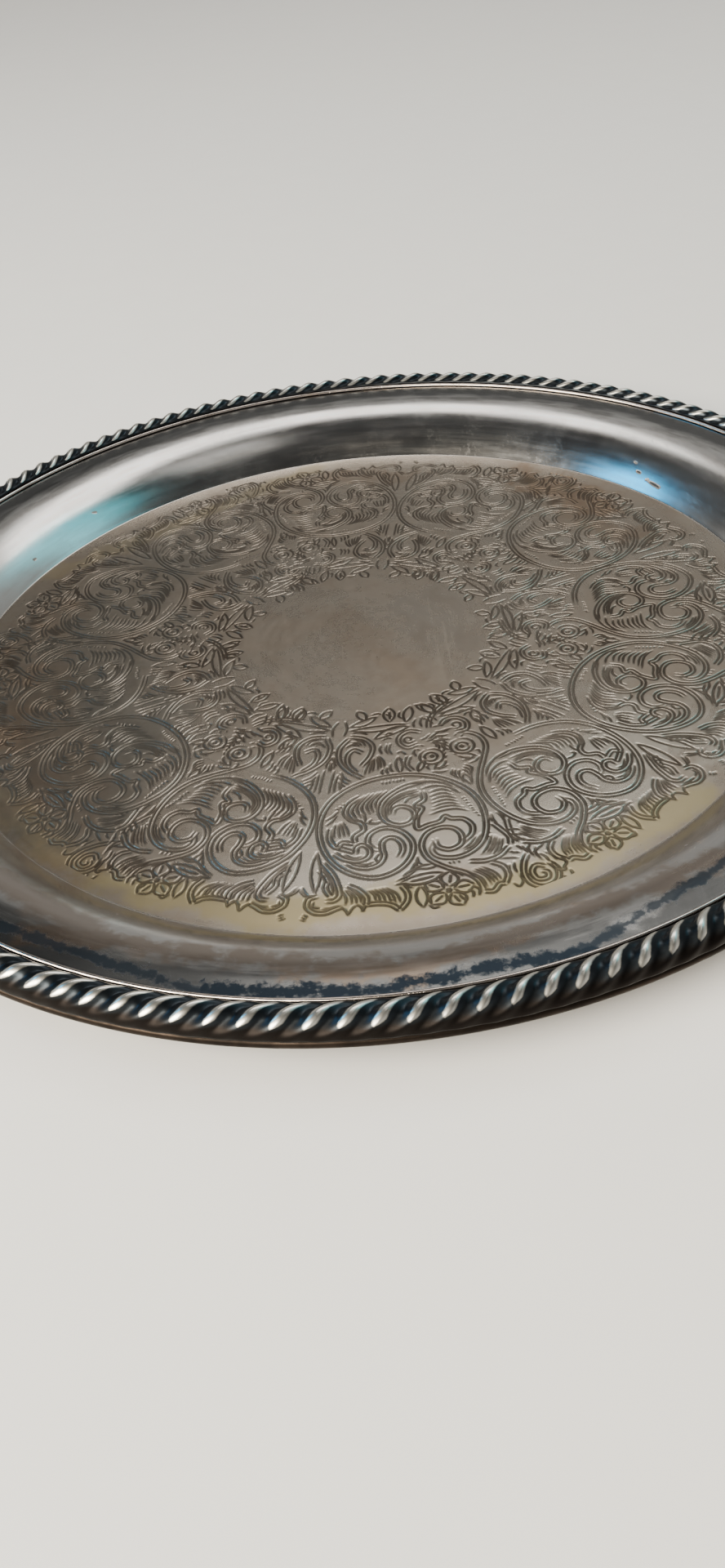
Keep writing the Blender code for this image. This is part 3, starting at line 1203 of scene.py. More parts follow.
def roundel(hooked: bool) -> dict[Cut, list[Curve]]:
    """Draw the scroll roundel that fills the middle of each sector of the band.

    Args:
        hooked: Whether its frame opens at the foot and hooks inward, as on every second roundel.

    Returns:
        Its cuts by kind, with X along the rim and Y outward from the roundel's middle circle.
    """
    left_frame = [(-7.9, 10.2), (-6.8, 13.2), (-8.4, 16.3), (-12.6, 17.7), (-17.2, 16.6), (-21.4, 13.0),
                  (-23.8, 7.6), (-24.6, 1.0), (-23.9, -5.4), (-21.4, -11.2), (-17.0, -16.2)]
    foot = [(-11.4, -19.9), (-4.6, -22.2)]
    hook = [(-11.8, -20.6), (-7.6, -24.6), (-6.0, -28.8), (-6.6, -32.4), (-8.6, -35.2)]
    right_frame = [(2.4, -22.6), (9.4, -21.4), (15.6, -18.5), (20.4, -14.0), (23.6, -7.8), (24.8, -0.6),
                   (24.0, 6.8), (21.4, 13.2), (17.2, 18.0), (11.8, 20.9), (6.8, 20.6), (2.2, 18.0),
                   (-0.9, 13.8), (-1.9, 9.0), (-0.4, 4.6), (2.6, 1.6), (6.4, 0.7), (9.9, 2.5),
                   (11.1, 5.9), (9.8, 8.7), (8.1, 9.6)]
    frame_cuts = [left_frame + hook, right_frame] if hooked else [left_frame + foot + right_frame]
    bands = [
        *frame_cuts,
        [(-8.2, 8.8), (-8.7, 12.0), (-11.8, 13.9), (-15.3, 12.2), (-16.1, 8.4), (-14.4, 5.2),
         (-11.0, 4.1), (-7.0, 5.2), (-4.6, 8.4), (-4.0, 12.2), (-5.4, 16.8), (-9.8, 21.2), (-14.8, 24.6),
         (-17.6, 28.2), (-18.3, 32.6)],
        [(3.0, 14.2), (1.6, 11.6), (1.5, 8.6), (2.8, 6.2), (4.9, 5.4), (6.9, 6.7), (7.4, 9.8),
         (7.3, 13.0), (9.2, 15.9), (12.6, 16.8), (15.8, 15.6), (18.2, 13.4)],
        [(15.2, 9.6), (14.6, 7.2), (12.6, 6.6), (11.0, 8.8), (11.8, 11.9), (14.8, 13.0), (18.4, 11.6),
         (21.4, 8.4)],
        [(2.4, -4.8), (1.5, -7.0), (-0.8, -7.7), (-3.6, -5.8), (-4.1, -2.8), (-2.2, 0.0), (1.2, 0.5),
         (4.5, -1.9), (5.8, -6.0), (4.9, -10.2), (1.8, -13.8), (-3.2, -16.6), (-9.2, -17.6)],
        [(-16.6, 11.4), (-19.4, 8.8), (-20.1, 5.2), (-18.2, 2.0), (-14.8, 1.0), (-13.0, -0.4),
         (-11.2, 1.5), (-7.4, 2.4), (-4.3, 3.2), (-4.7, -1.6), (-6.8, -5.4), (-5.4, -7.2), (-8.0, -9.4),
         (-8.1, -13.0)],
        [(15.6, 9.0), (17.6, 7.8), (20.0, 6.2)],
        [(15.0, 5.6), (18.4, 4.4), (20.4, 6.0), (22.0, 2.2), (21.4, -2.4)],
        [(14.7, 5.2), (14.3, 2.4), (11.6, 0.2), (11.9, -2.8), (14.6, -5.0), (16.0, -8.6), (14.4, -12.2),
         (11.0, -14.8)],
    ]
    lines = [
        *between([(4.2, -3.4), (3.6, -9.0), (-0.8, -13.0), (-6.6, -14.6)],
                 [(3.0, -6.2), (2.0, -9.4), (-2.0, -12.0), (-6.9, -12.6)], 3),
        *between([(-18.8, -10.2), (-15.8, -13.4), (-11.6, -15.0), (-8.0, -14.6)],
                 [(-17.6, -13.0), (-14.2, -16.0), (-9.6, -17.6), (-5.0, -17.2)], 2),
        [(-2.0, -9.2), (-3.6, -11.0), (-6.8, -12.0)],
        [(8.9, 15.0), (9.6, 13.2), (8.3, 11.4)],
        [(6.0, -2.4), (7.6, -1.9), (9.6, -2.6), (8.8, -3.8)],
    ]
    hatches = [
        *between([(-19.8, -1.4), (-16.6, -2.9), (-13.0, -3.1), (-8.6, -2.2)],
                 [(-18.8, -3.2), (-16.0, -4.5), (-13.4, -4.7), (-9.6, -4.0)], 2),
        *between([(-18.0, -5.0), (-15.2, -6.2), (-12.8, -6.2), (-10.4, -5.6)],
                 [(-16.4, -11.4), (-14.2, -12.7), (-12.4, -12.9), (-10.2, -12.4)], 5),
        *between([(6.4, -7.8), (6.6, -10.8), (5.4, -13.2), (2.6, -15.8)],
                 [(13.0, -4.8), (14.0, -8.8), (12.6, -11.8), (9.4, -15.2)], 6),
        *between([(10.8, -2.6), (10.6, -5.2), (11.2, -7.0)],
                 [(13.4, -3.6), (15.6, -6.4), (15.8, -8.8)], 2),
        *between([(16.2, 1.8), (16.6, -1.6), (17.6, -4.4)],
                 [(20.6, 1.6), (20.4, -1.2), (19.6, -4.0)], 4),
        *between([(19.0, -7.8), (20.4, -5.8), (22.2, -4.4)],
                 [(18.2, -9.6), (19.8, -7.8), (21.8, -6.6)], 2),
        *between([(-15.6, 15.4), (-19.0, 13.4), (-21.8, 9.4)],
                 [(-15.8, 14.4), (-18.2, 12.8), (-20.4, 10.0)], 2),
        [(10.2, 14.2), (12.8, 15.0), (15.4, 14.2)],
        [(13.6, 11.2), (16.0, 11.6), (18.8, 9.4)],
    ]
    ticks = [
        *between([(-22.9, 1.6), (-22.2, 1.0)], [(-20.2, -7.4), (-19.4, -7.2)], 8),
        *between([(-3.4, -19.4), (-3.2, -20.3)], [(3.2, -19.3), (3.4, -20.2)], 7),
        *between([(-13.6, 20.2), (-13.4, 19.2)], [(-11.0, 20.0), (-10.6, 19.0)], 3),
        *between([(13.0, -13.8), (13.6, -14.4)], [(17.8, -10.4), (18.6, -10.8)], 5),
    ]
    return {Cut.BAND: bands, Cut.LINE: lines, Cut.HATCH: hatches, Cut.TICK: ticks}


def outer_border() -> dict[Cut, list[Curve]]:
    """Draw the flower, leaves, bud and fan that give the band its scalloped outer edge.

    Returns:
        Its cuts by kind, in the roundel's coordinates.
    """
    bands = [
        [(-17.0, 20.2), (-21.4, 20.9), (-25.8, 19.6), (-29.2, 16.4)],
        [(-29.4, 15.6), (-29.6, 12.4), (-27.6, 8.4), (-26.0, 5.8)],
        [(-24.8, 30.8), (-26.2, 27.2), (-25.4, 23.8), (-22.6, 21.6)],
        [(-24.8, 31.0), (-23.2, 31.0), (-21.2, 33.2), (-18.8, 33.0)],
        [(3.8, 26.0), (2.7, 29.0), (3.2, 32.2), (5.6, 35.2)],
        [(5.6, 35.2), (7.4, 33.0), (10.4, 31.7), (14.4, 31.3)],
        [(14.3, 31.3), (13.9, 28.2), (15.6, 25.0), (18.4, 22.6)],
        [(21.4, 30.6), (23.6, 31.2), (26.2, 32.0), (29.0, 31.2), (30.8, 28.6), (30.2, 25.8),
         (27.8, 25.0)],
        [(25.2, 27.8), (23.0, 28.0), (21.3, 26.0), (21.6, 21.2), (22.6, 17.0), (24.8, 12.2)],
        [(24.2, 25.6), (25.2, 22.2), (24.4, 18.8), (25.9, 14.8)],
    ]
    lines = [
        *flower((-9.0, 30.2), (1.4, 7.4), 5, 113.0, 5.0),
        spiral((-9.0, 30.2), (0.25, 0.2), (0.0, 360.0), 6),
        *leaf((-1.2, 27.0), (-0.8, 35.4), 3.0),
        *leaf((-8.8, 23.0), (4.6, 24.6), 4.0, 0.5),
        *leaf((26.2, 7.0), (28.4, 23.8), 3.0),
        [(14.4, 31.5), (15.6, 33.4)],
        [(15.6, 33.4), (16.3, 31.4), (17.4, 30.9)],
        [(17.4, 30.9), (18.6, 32.0), (19.9, 34.0)],
        [(19.9, 34.0), (20.4, 32.2), (21.6, 30.6)],
        [(-7.8, 19.8), (-4.4, 20.6), (-1.2, 20.2), (1.4, 22.2), (5.2, 23.8)],
        [(-5.8, 19.0), (-2.6, 19.2), (0.6, 20.6), (3.0, 22.2)],
        [(-29.4, 28.2), (-29.6, 31.2), (-28.2, 33.0), (-26.9, 31.4)],
        [(-16.9, 34.0), (-17.3, 31.8), (-15.9, 30.2)],
        [(-15.2, 34.2), (-15.5, 32.4), (-14.4, 31.2)],
        [(0.9, 27.0), (2.0, 26.6), (2.6, 25.2), (5.4, 25.0)],
        [(-13.6, 25.6), (-12.4, 24.2), (-10.6, 23.4)],
    ]
    hatches = [
        *between([(-24.2, 29.6), (-22.8, 26.2), (-19.4, 22.9)],
                 [(-18.9, 31.4), (-17.9, 27.6), (-14.9, 24.8)], 6),
        *between([(-24.8, 18.9), (-26.2, 16.4), (-27.6, 12.6)],
                 [(-20.6, 17.9), (-23.0, 14.8), (-24.9, 10.6)], 5),
        *between([(5.0, 32.6), (5.8, 28.6), (8.6, 25.8)],
                 [(11.8, 30.4), (11.9, 27.6), (13.4, 25.4)], 6),
        *between([(15.6, 30.4), (15.9, 27.4), (18.4, 23.6)],
                 [(20.1, 29.8), (19.7, 27.4), (20.3, 24.6)], 4),
        *between([(-3.6, 18.8), (-2.4, 17.0), (-2.4, 14.8)],
                 [(0.6, 20.4), (-0.6, 18.6), (-1.2, 17.2)], 3),
        *between([(23.0, 25.0), (23.2, 21.4), (23.4, 18.2)],
                 [(23.4, 16.8), (24.0, 15.2), (25.0, 12.8)], 2),
        *between([(-28.8, 27.6), (-28.4, 25.4), (-28.8, 23.2)],
                 [(-27.2, 28.6), (-26.9, 26.2), (-27.4, 24.0)], 2),
        *between([(-30.4, 21.6), (-27.8, 21.2), (-25.6, 20.8)],
                 [(-31.0, 19.4), (-29.6, 19.3), (-28.2, 18.6)], 2),
        *between([(29.4, 25.2), (30.6, 23.4), (31.4, 20.8)],
                 [(30.6, 24.8), (31.8, 23.0), (32.4, 21.2)], 2),
        *between([(-27.4, 6.4), (-26.6, 4.2), (-26.4, 1.6)],
                 [(-26.2, 5.0), (-25.9, 3.4), (-25.8, 2.0)], 2),
        [(-13.0, 35.4), (-12.0, 34.0), (-11.4, 32.6)],
        [(-5.2, 36.0), (-3.6, 36.2), (-2.6, 34.6)],
        [(22.4, 29.8), (24.6, 30.4), (27.0, 30.2)],
        [(27.6, 29.8), (29.2, 28.6), (29.0, 27.0)],
    ]
    ticks = [
        *between([(24.4, 20.0), (24.9, 19.2)], [(24.6, 17.4), (25.2, 16.6)], 3),
        *between([(-23.4, 12.0), (-22.4, 12.6)], [(-24.8, 9.4), (-23.9, 9.6)], 3),
        *between([(31.2, 32.6), (32.2, 31.6)], [(32.2, 33.8), (33.2, 32.8)], 3),
        *between([(6.8, 31.2), (8.0, 30.8)], [(10.6, 30.6), (11.4, 30.2)], 3),
    ]
    return {Cut.BAND: bands, Cut.LINE: lines, Cut.HATCH: hatches, Cut.TICK: ticks}


def shared_curl() -> dict[Cut, list[Curve]]:
    """Draw the watch-spring curl, the shell and the palm stem that two neighbouring sectors share.

    Returns:
        Its cuts by kind, in the coordinates of the sector to its right.
    """
    bands = [
        [(-38.0, 24.8), (-39.9, 28.4), (-38.8, 32.6), (-35.0, 34.4), (-31.6, 32.4), (-30.4, 28.4),
         (-31.2, 23.8), (-33.0, 20.2)],
        [(-37.4, 26.6), (-34.6, 25.8), (-33.2, 28.2), (-34.2, 31.2), (-36.8, 31.2), (-37.4, 29.2),
         (-36.0, 28.2)],
        [(-14.8, -43.8), (-15.8, -48.2), (-19.2, -53.2), (-24.6, -57.4)],
    ]
    lines = [
        [(-41.0, 31.4), (-42.2, 33.0), (-43.6, 31.6), (-43.4, 29.4)],
        [(-41.6, 28.6), (-43.0, 26.4), (-42.2, 24.2)],
        [(-13.6, -38.2), (-17.2, -41.0), (-22.4, -42.4)],
        [(-16.2, -44.0), (-19.8, -44.6), (-23.2, -46.8)],
        *leaf((-18.2, -50.8), (-14.2, -57.6), 3.0),
        *leaf((-23.0, -55.6), (-20.0, -61.0), 2.8),
    ]
    hatches = [
        *between([(-36.6, 24.0), (-35.4, 21.0), (-35.8, 18.0)],
                 [(-32.0, 18.6), (-31.4, 17.6), (-30.6, 16.8)], 4),
        *between([(-34.4, 14.6), (-31.6, 14.2), (-30.6, 12.8)],
                 [(-33.6, 10.4), (-31.0, 9.6), (-29.2, 9.8)], 3),
        *between([(-17.2, -38.2), (-18.8, -37.0), (-20.4, -36.8)],
                 [(-15.6, -36.2), (-17.6, -35.0), (-19.4, -34.8)], 2),
    ]
    return {Cut.BAND: bands, Cut.LINE: lines, Cut.HATCH: hatches, Cut.TICK: []}


def inner_border(hooked: bool) -> dict[Cut, list[Curve]]:
    """Draw the smaller scrolls, rose and palm leaves round the plain middle.

    Args:
        hooked: Whether the roundel above it hooks down into it.

    Returns:
        Its cuts by kind, in the roundel's coordinates.
    """
    rose = (-13.4, -29.4)
    bands = [
        [(9.2, -23.8), (13.2, -28.4), (15.4, -34.0), (14.6, -40.0), (11.2, -44.4)],
        [(8.8, -29.4), (5.6, -33.6), (4.2, -38.4), (6.2, -42.8), (10.6, -45.0)],
        [(10.8, -26.8), (12.7, -31.4), (12.2, -35.8), (10.0, -38.0), (7.6, -36.0)],
        [(-10.2, -36.4), (-6.8, -35.4), (-4.5, -38.2), (-5.2, -41.8), (-8.4, -43.8), (-12.0, -42.4)],
    ]
    lines = [
        spiral(rose, (3.9, 3.7), (-60.0, 280.0), 12),
        spiral(rose, (2.2, 1.9), (30.0, 400.0), 9),
        spiral(rose, (0.5, 0.4), (0.0, 360.0), 6),
        spiral((-7.8, -39.6), (2.0, 0.6), (150.0, -260.0), 10),
        *leaf((-9.0, -46.4), (3.0, -42.2), 3.0, -0.8),
        *leaf((-8.6, -48.0), (10.4, -48.6), 2.8, 0.8),
        *leaf((0.6, -54.0), (10.2, -50.4), 2.8, 0.6),
        *leaf((-3.0, -49.8), (-3.6, -57.6), 3.8),
        *leaf((-8.0, -48.8), (-10.8, -57.0), 3.0),
        *leaf((4.6, -53.0), (6.8, -58.4), 3.0),
        [(12.6, -46.0), (11.2, -49.6), (11.4, -53.4)],
        [(9.6, -46.8), (7.2, -46.4), (5.0, -45.0)],
    ]
    if not hooked:
        bands += [
            [(-6.6, -23.6), (-5.2, -27.0), (-6.4, -30.8)],
        ]
        lines += [
            *leaf((-8.4, -22.8), (-10.8, -28.2), 2.0),
            *leaf((-2.8, -23.6), (-3.0, -31.6), 2.0),
            [(-8.6, -30.8), (-8.0, -32.6), (-8.8, -34.4)],
            [(-5.6, -32.0), (-4.4, -33.6), (-3.2, -33.4)],
        ]
    else:
        lines += [
            *leaf((-3.0, -24.8), (-2.8, -33.4), 2.6),
            *leaf((-1.6, -35.0), (1.6, -42.0), 3.0),
        ]
    hatches = [
        *between([(1.6, -27.6), (1.6, -30.6), (2.8, -33.6)],
                 [(8.2, -25.0), (7.0, -28.2), (5.4, -31.8)], 6),
        *between([(-0.6, -24.4), (0.0, -26.2), (-0.4, -28.4)],
                 [(2.6, -23.8), (2.9, -25.0), (2.4, -26.4)], 3),
        *between([(-1.6, -33.2), (-0.8, -35.6), (-1.6, -38.6)],
                 [(1.6, -34.4), (2.0, -36.6), (1.4, -38.8)], 3),
        *between([(6.2, -39.2), (7.0, -41.6), (9.2, -43.2)],
                 [(9.2, -39.9), (10.6, -40.8), (12.6, -39.8)], 4),
        *between([(-17.8, -24.0), (-15.8, -23.2), (-13.6, -23.4)],
                 [(-17.0, -21.4), (-14.8, -21.0), (-12.4, -21.8)], 2),
        *between([(-18.4, -38.0), (-16.6, -36.6), (-14.6, -36.0)],
                 [(-14.8, -40.8), (-13.2, -39.2), (-11.6, -38.6)], 3),
        *between([(-12.8, -44.8), (-12.6, -47.6), (-13.8, -50.4)],
                 [(-10.6, -45.2), (-10.6, -47.4), (-11.6, -49.6)], 2),
        *between([(-3.2, -43.4), (-2.0, -44.2), (-0.6, -43.6)],
                 [(-2.6, -41.2), (-1.2, -41.8), (0.6, -41.0)], 2),
        *between([(-7.2, -50.8), (-6.2, -52.4), (-6.8, -54.6)],
                 [(-0.8, -55.0), (0.6, -55.6), (2.4, -55.2)], 3),
        *between([(16.6, -19.4), (16.4, -22.0), (15.2, -24.6)],
                 [(20.2, -18.8), (18.8, -23.8), (17.4, -29.0)], 3),
        *between([(-21.4, -14.8), (-21.2, -17.0), (-22.0, -19.2)],
                 [(-23.4, -13.6), (-23.6, -16.0), (-23.8, -18.0)], 2),
        *between([(-19.2, -17.6), (-18.0, -19.4), (-18.6, -21.6)],
                 [(-21.0, -16.0), (-20.4, -18.4), (-20.6, -20.6)], 3),
        *between([(17.2, -30.6), (16.6, -33.4), (17.2, -36.4)],
                 [(18.6, -29.4), (18.0, -31.8), (18.2, -33.8)], 2),
        *between([(12.8, -22.8), (14.6, -25.0), (15.4, -27.8)],
                 [(14.8, -20.8), (16.0, -22.2), (16.4, -24.0)], 3),
        *between([(-14.6, -22.6), (-16.8, -24.8), (-17.4, -26.6)],
                 [(-11.6, -22.8), (-11.0, -24.2), (-11.8, -25.0)], 3),
        *between([(-17.4, -30.6), (-18.2, -32.6), (-17.6, -34.8)],
                 [(-15.6, -33.6), (-15.8, -35.2), (-14.8, -36.6)], 3),
    ]
    ticks = [
        *between([(-17.6, -27.2), (-18.2, -28.6)], [(-17.4, -33.0), (-18.0, -34.2)], 4),
        *between([(-10.6, -33.2), (-9.4, -33.8)], [(-12.0, -35.0), (-10.8, -35.6)], 2),
        *between([(16.2, -31.6), (16.8, -33.4)], [(16.0, -37.6), (16.4, -39.4)], 3),
    ]
    return {Cut.BAND: bands, Cut.LINE: lines, Cut.HATCH: hatches, Cut.TICK: ticks}


def smooth_curve(points: Curve, step: float) -> np.ndarray:
    """Run a smooth curve through the points of a cut.

    Args:
        points: The points it passes through.
        step: Distance between the returned points.

    Returns:
        Points close together along a Catmull-Rom curve, one row each.
    """
    corners = np.array(points, float)
    if len(corners) == 2:
        corners = np.array([corners[0], corners.mean(0), corners[1]])
    padded = np.vstack([2 * corners[0] - corners[1], corners, 2 * corners[-1] - corners[-2]])
    pieces = []
    for p0, p1, p2, p3 in zip(padded, padded[1:], padded[2:], padded[3:]):
        count = max(int(np.linalg.norm(p2 - p1) / step) + 1, 2)
        t = np.linspace(0.0, 1.0, count, endpoint=False)[:, None]
        pieces.append(0.5 * (2 * p1 + (p2 - p0) * t + (2 * p0 - 5 * p1 + 4 * p2 - p3) * t ** 2
                             + (3 * p1 - p0 - 3 * p2 + p3) * t ** 3))
    pieces.append(corners[-1:])
    return np.vstack(pieces)


@dataclass
class ReliefMap:
    """The depth of the engraving over the whole floor, on a square grid.

    Args:
        reach: Half the side of the grid, in millimetres.
        cell: Distance between the grid's points, in millimetres.
    """

    reach: float
    cell: float
    depth: np.ndarray = field(init=False)

    def __post_init__(self) -> None:
        """Start with an uncut floor."""
        side = int(2 * self.reach / self.cell) + 1
        self.depth = np.zeros((side, side), np.float32)

    def plough(self, track: np.ndarray, half_width: float, depth: np.ndarray) -> None:
        """Cut one rounded groove along a track.

        Args:
            track: Points of the groove's middle, close together, one row each.
            half_width: Half the groove's width.
            depth: Depth at each point.
        """
        spot = (track + self.reach) / self.cell
        near = np.floor(spot).astype(int)
        reach = int(np.ceil(half_width / self.cell))
        side = self.depth.shape[0]
        flat = self.depth.ravel()
        for dx in range(-reach, reach + 2):
            for dy in range(-reach, reach + 2):
                cells = near + (dx, dy)
                apart = np.hypot(*(cells - spot).T) * self.cell / half_width
                cut = depth * (1.0 - apart ** 2).clip(0.0) ** 0.8
                inside = (apart < 1.0) & (cells > 0).all(1) & (cells < side).all(1)
                index = cells[inside, 1] * side + cells[inside, 0]
                np.maximum.at(flat, index, cut[inside].astype(np.float32))

    def sample(self, x: np.ndarray, y: np.ndarray) -> np.ndarray:
        """Read the depth between the grid's points.

        Args:
            x: Positions along X, in millimetres.
            y: Positions along Y, in millimetres.

        Returns:
            The depth at each position, in millimetres.
        """
        column = (x + self.reach) / self.cell
        row = (y + self.reach) / self.cell
        left = np.floor(column).astype(int).clip(0, self.depth.shape[0] - 2)
        low = np.floor(row).astype(int).clip(0, self.depth.shape[0] - 2)
        u = column - left
        v = row - low
        near = self.depth[low, left] * (1 - u) + self.depth[low, left + 1] * u
        far = self.depth[low + 1, left] * (1 - u) + self.depth[low + 1, left + 1] * u
        return near * (1 - v) + far * v


@dataclass
class EngravedFloor:
    """The engraved band of the floor, in twelve sectors of one scroll roundel each.

    Every second sector is the mirror image of its neighbour, and no two are cut quite alike.
    """

    dish: Dish
    sectors: int = 12
    first_angle: float = -87.0
    design_radius: float = 100.0
    columns: int = 196
    rows: int = 276
    track_step: float = 0.12
    wobble: float = 0.12
    pressure: Point = (0.85, 1.1)
    second_cut: float = 0.9
    relief_margin: float = 3.0
    relief_cell: float = 0.15
    normal_reach: float = 0.17
    seed: int = 41
    relief: ReliefMap = field(init=False)

    def __post_init__(self) -> None:
        """Start with an uncut relief."""
        self.relief = ReliefMap(self.dish.band_outer + self.relief_margin, self.relief_cell)

    def lay(self, track: np.ndarray, angle: float, mirrored: bool) -> np.ndarray:
        """Move a track from the design's own coordinates onto the floor.

        Args:
            track: Points along the rim and outward from the design's middle circle.
            angle: The sector's direction, in degrees.
            mirrored: Whether the sector is the mirror image of the design.

        Returns:
            The points on the floor.
        """
        side = -track[:, :1] if mirrored else track[:, :1]
        along = np.array([sin(radians(angle)), -cos(radians(angle))])
        outward = np.array([cos(radians(angle)), sin(radians(angle))])
        return side * along + (self.design_radius + track[:, 1:]) * outward

    def engrave(self, design: dict[Cut, list[Curve]], angle: float, mirrored: bool,
                hand: np.random.Generator) -> None:
        """Cut one design into the relief.

        Args:
            design: Its cuts by kind.
            angle: The sector's direction, in degrees.
            mirrored: Whether it is cut as a mirror image.
            hand: The small unevenness of hand work.
        """
        for kind, curves in design.items():
            graver = GRAVERS[kind]
            for curve in curves:
                track = smooth_curve(curve, self.track_step)
                share = np.linspace(0.0, 1.0, len(track))
                ends = np.minimum(share, 1.0 - share) / graver.taper
                strength = 0.25 + 0.75 * ends.clip(0.0, 1.0) ** 0.7
                depth = graver.depth * hand.uniform(*self.pressure) * strength
                laid = self.lay(track + hand.normal(0.0, self.wobble, 2), angle, mirrored)
                if graver.spacing == 0.0:
                    self.relief.plough(laid, graver.half_width, depth)
                    continue
                runs = np.gradient(laid, axis=0)
                runs /= np.linalg.norm(runs, axis=1)[:, None]
                aside = np.stack([-runs[:, 1], runs[:, 0]], 1) * graver.spacing / 2
                self.relief.plough(laid + aside, graver.half_width, depth)
                self.relief.plough(laid - aside, graver.half_width, depth * self.second_cut)

    def engrave_all(self) -> None:
        """Cut every sector's designs into the relief."""
        hand = np.random.default_rng(self.seed)
        for number in range(self.sectors):
            angle = self.first_angle + 360.0 / self.sectors * number
            mirrored = number % 2 == 1
            for design in (roundel(mirrored), outer_border(), inner_border(mirrored)):
                self.engrave(design, angle, mirrored, hand)
            if not mirrored:
                self.engrave(shared_curl(), angle, False, hand)

    def sector(self, number: int, material: bpy.types.Material) -> bpy.types.Object:
        """Make one sector of the engraved band as a fine grid that follows the relief.

        Args:
            number: The sector's number, from 0.
            material: The finish of the plated sheet.

        Returns:
            The sector.
        """
        step = 360.0 / self.sectors
        middle = self.first_angle + step * number
        angles = np.radians(np.linspace(middle - step / 2, middle + step / 2, self.columns + 1))
        radii = np.linspace(self.dish.band_outer, self.dish.band_inner, self.rows + 1)[:, None]
        x = radii * np.cos(angles)
        y = radii * np.sin(angles)
        depth = self.relief.sample(x, y)
        top = np.stack([x, y, self.dish.sheet - depth], -1)
        mesh = grid_mesh(f"engraved_floor_{number + 1:02d}", top[::-1])
        self.smooth_normals(mesh, x[::-1], y[::-1])
        deepest = GRAVERS[Cut.BAND].depth
        write_mask(mesh, (depth[::-1] / deepest).clip(0.0, 1.0))
        return place_piece(mesh.name, mesh, material, Slot.SHEET, "dish_body")

    def smooth_normals(self, mesh: bpy.types.Mesh, x: np.ndarray, y: np.ndarray) -> None:
        """Give the sector's points the relief's own normals, so that neighbours shade alike.

        Args:
            mesh: The sector's mesh.
            x: Its points' places along X.
            y: Its points' places along Y.
        """
        reach = self.normal_reach
        run_x = self.relief.sample(x + reach, y) - self.relief.sample(x - reach, y)
        run_y = self.relief.sample(x, y + reach) - self.relief.sample(x, y - reach)
        slopes = (run_x / (2 * reach), run_y / (2 * reach), np.ones_like(run_x))
        normals = np.stack(slopes, -1).reshape(-1, 3)
        normals /= np.linalg.norm(normals, axis=1)[:, None]
        mesh.normals_split_custom_set_from_vertices(normals.tolist())

    def build(self, material: bpy.types.Material) -> list[bpy.types.Object]:
        """Engrave and make the whole band.

        Args:
            material: The finish of the plated sheet.

        Returns:
            The twelve sectors.
        """
        self.engrave_all()
        return [self.sector(number, material) for number in range(self.sectors)]


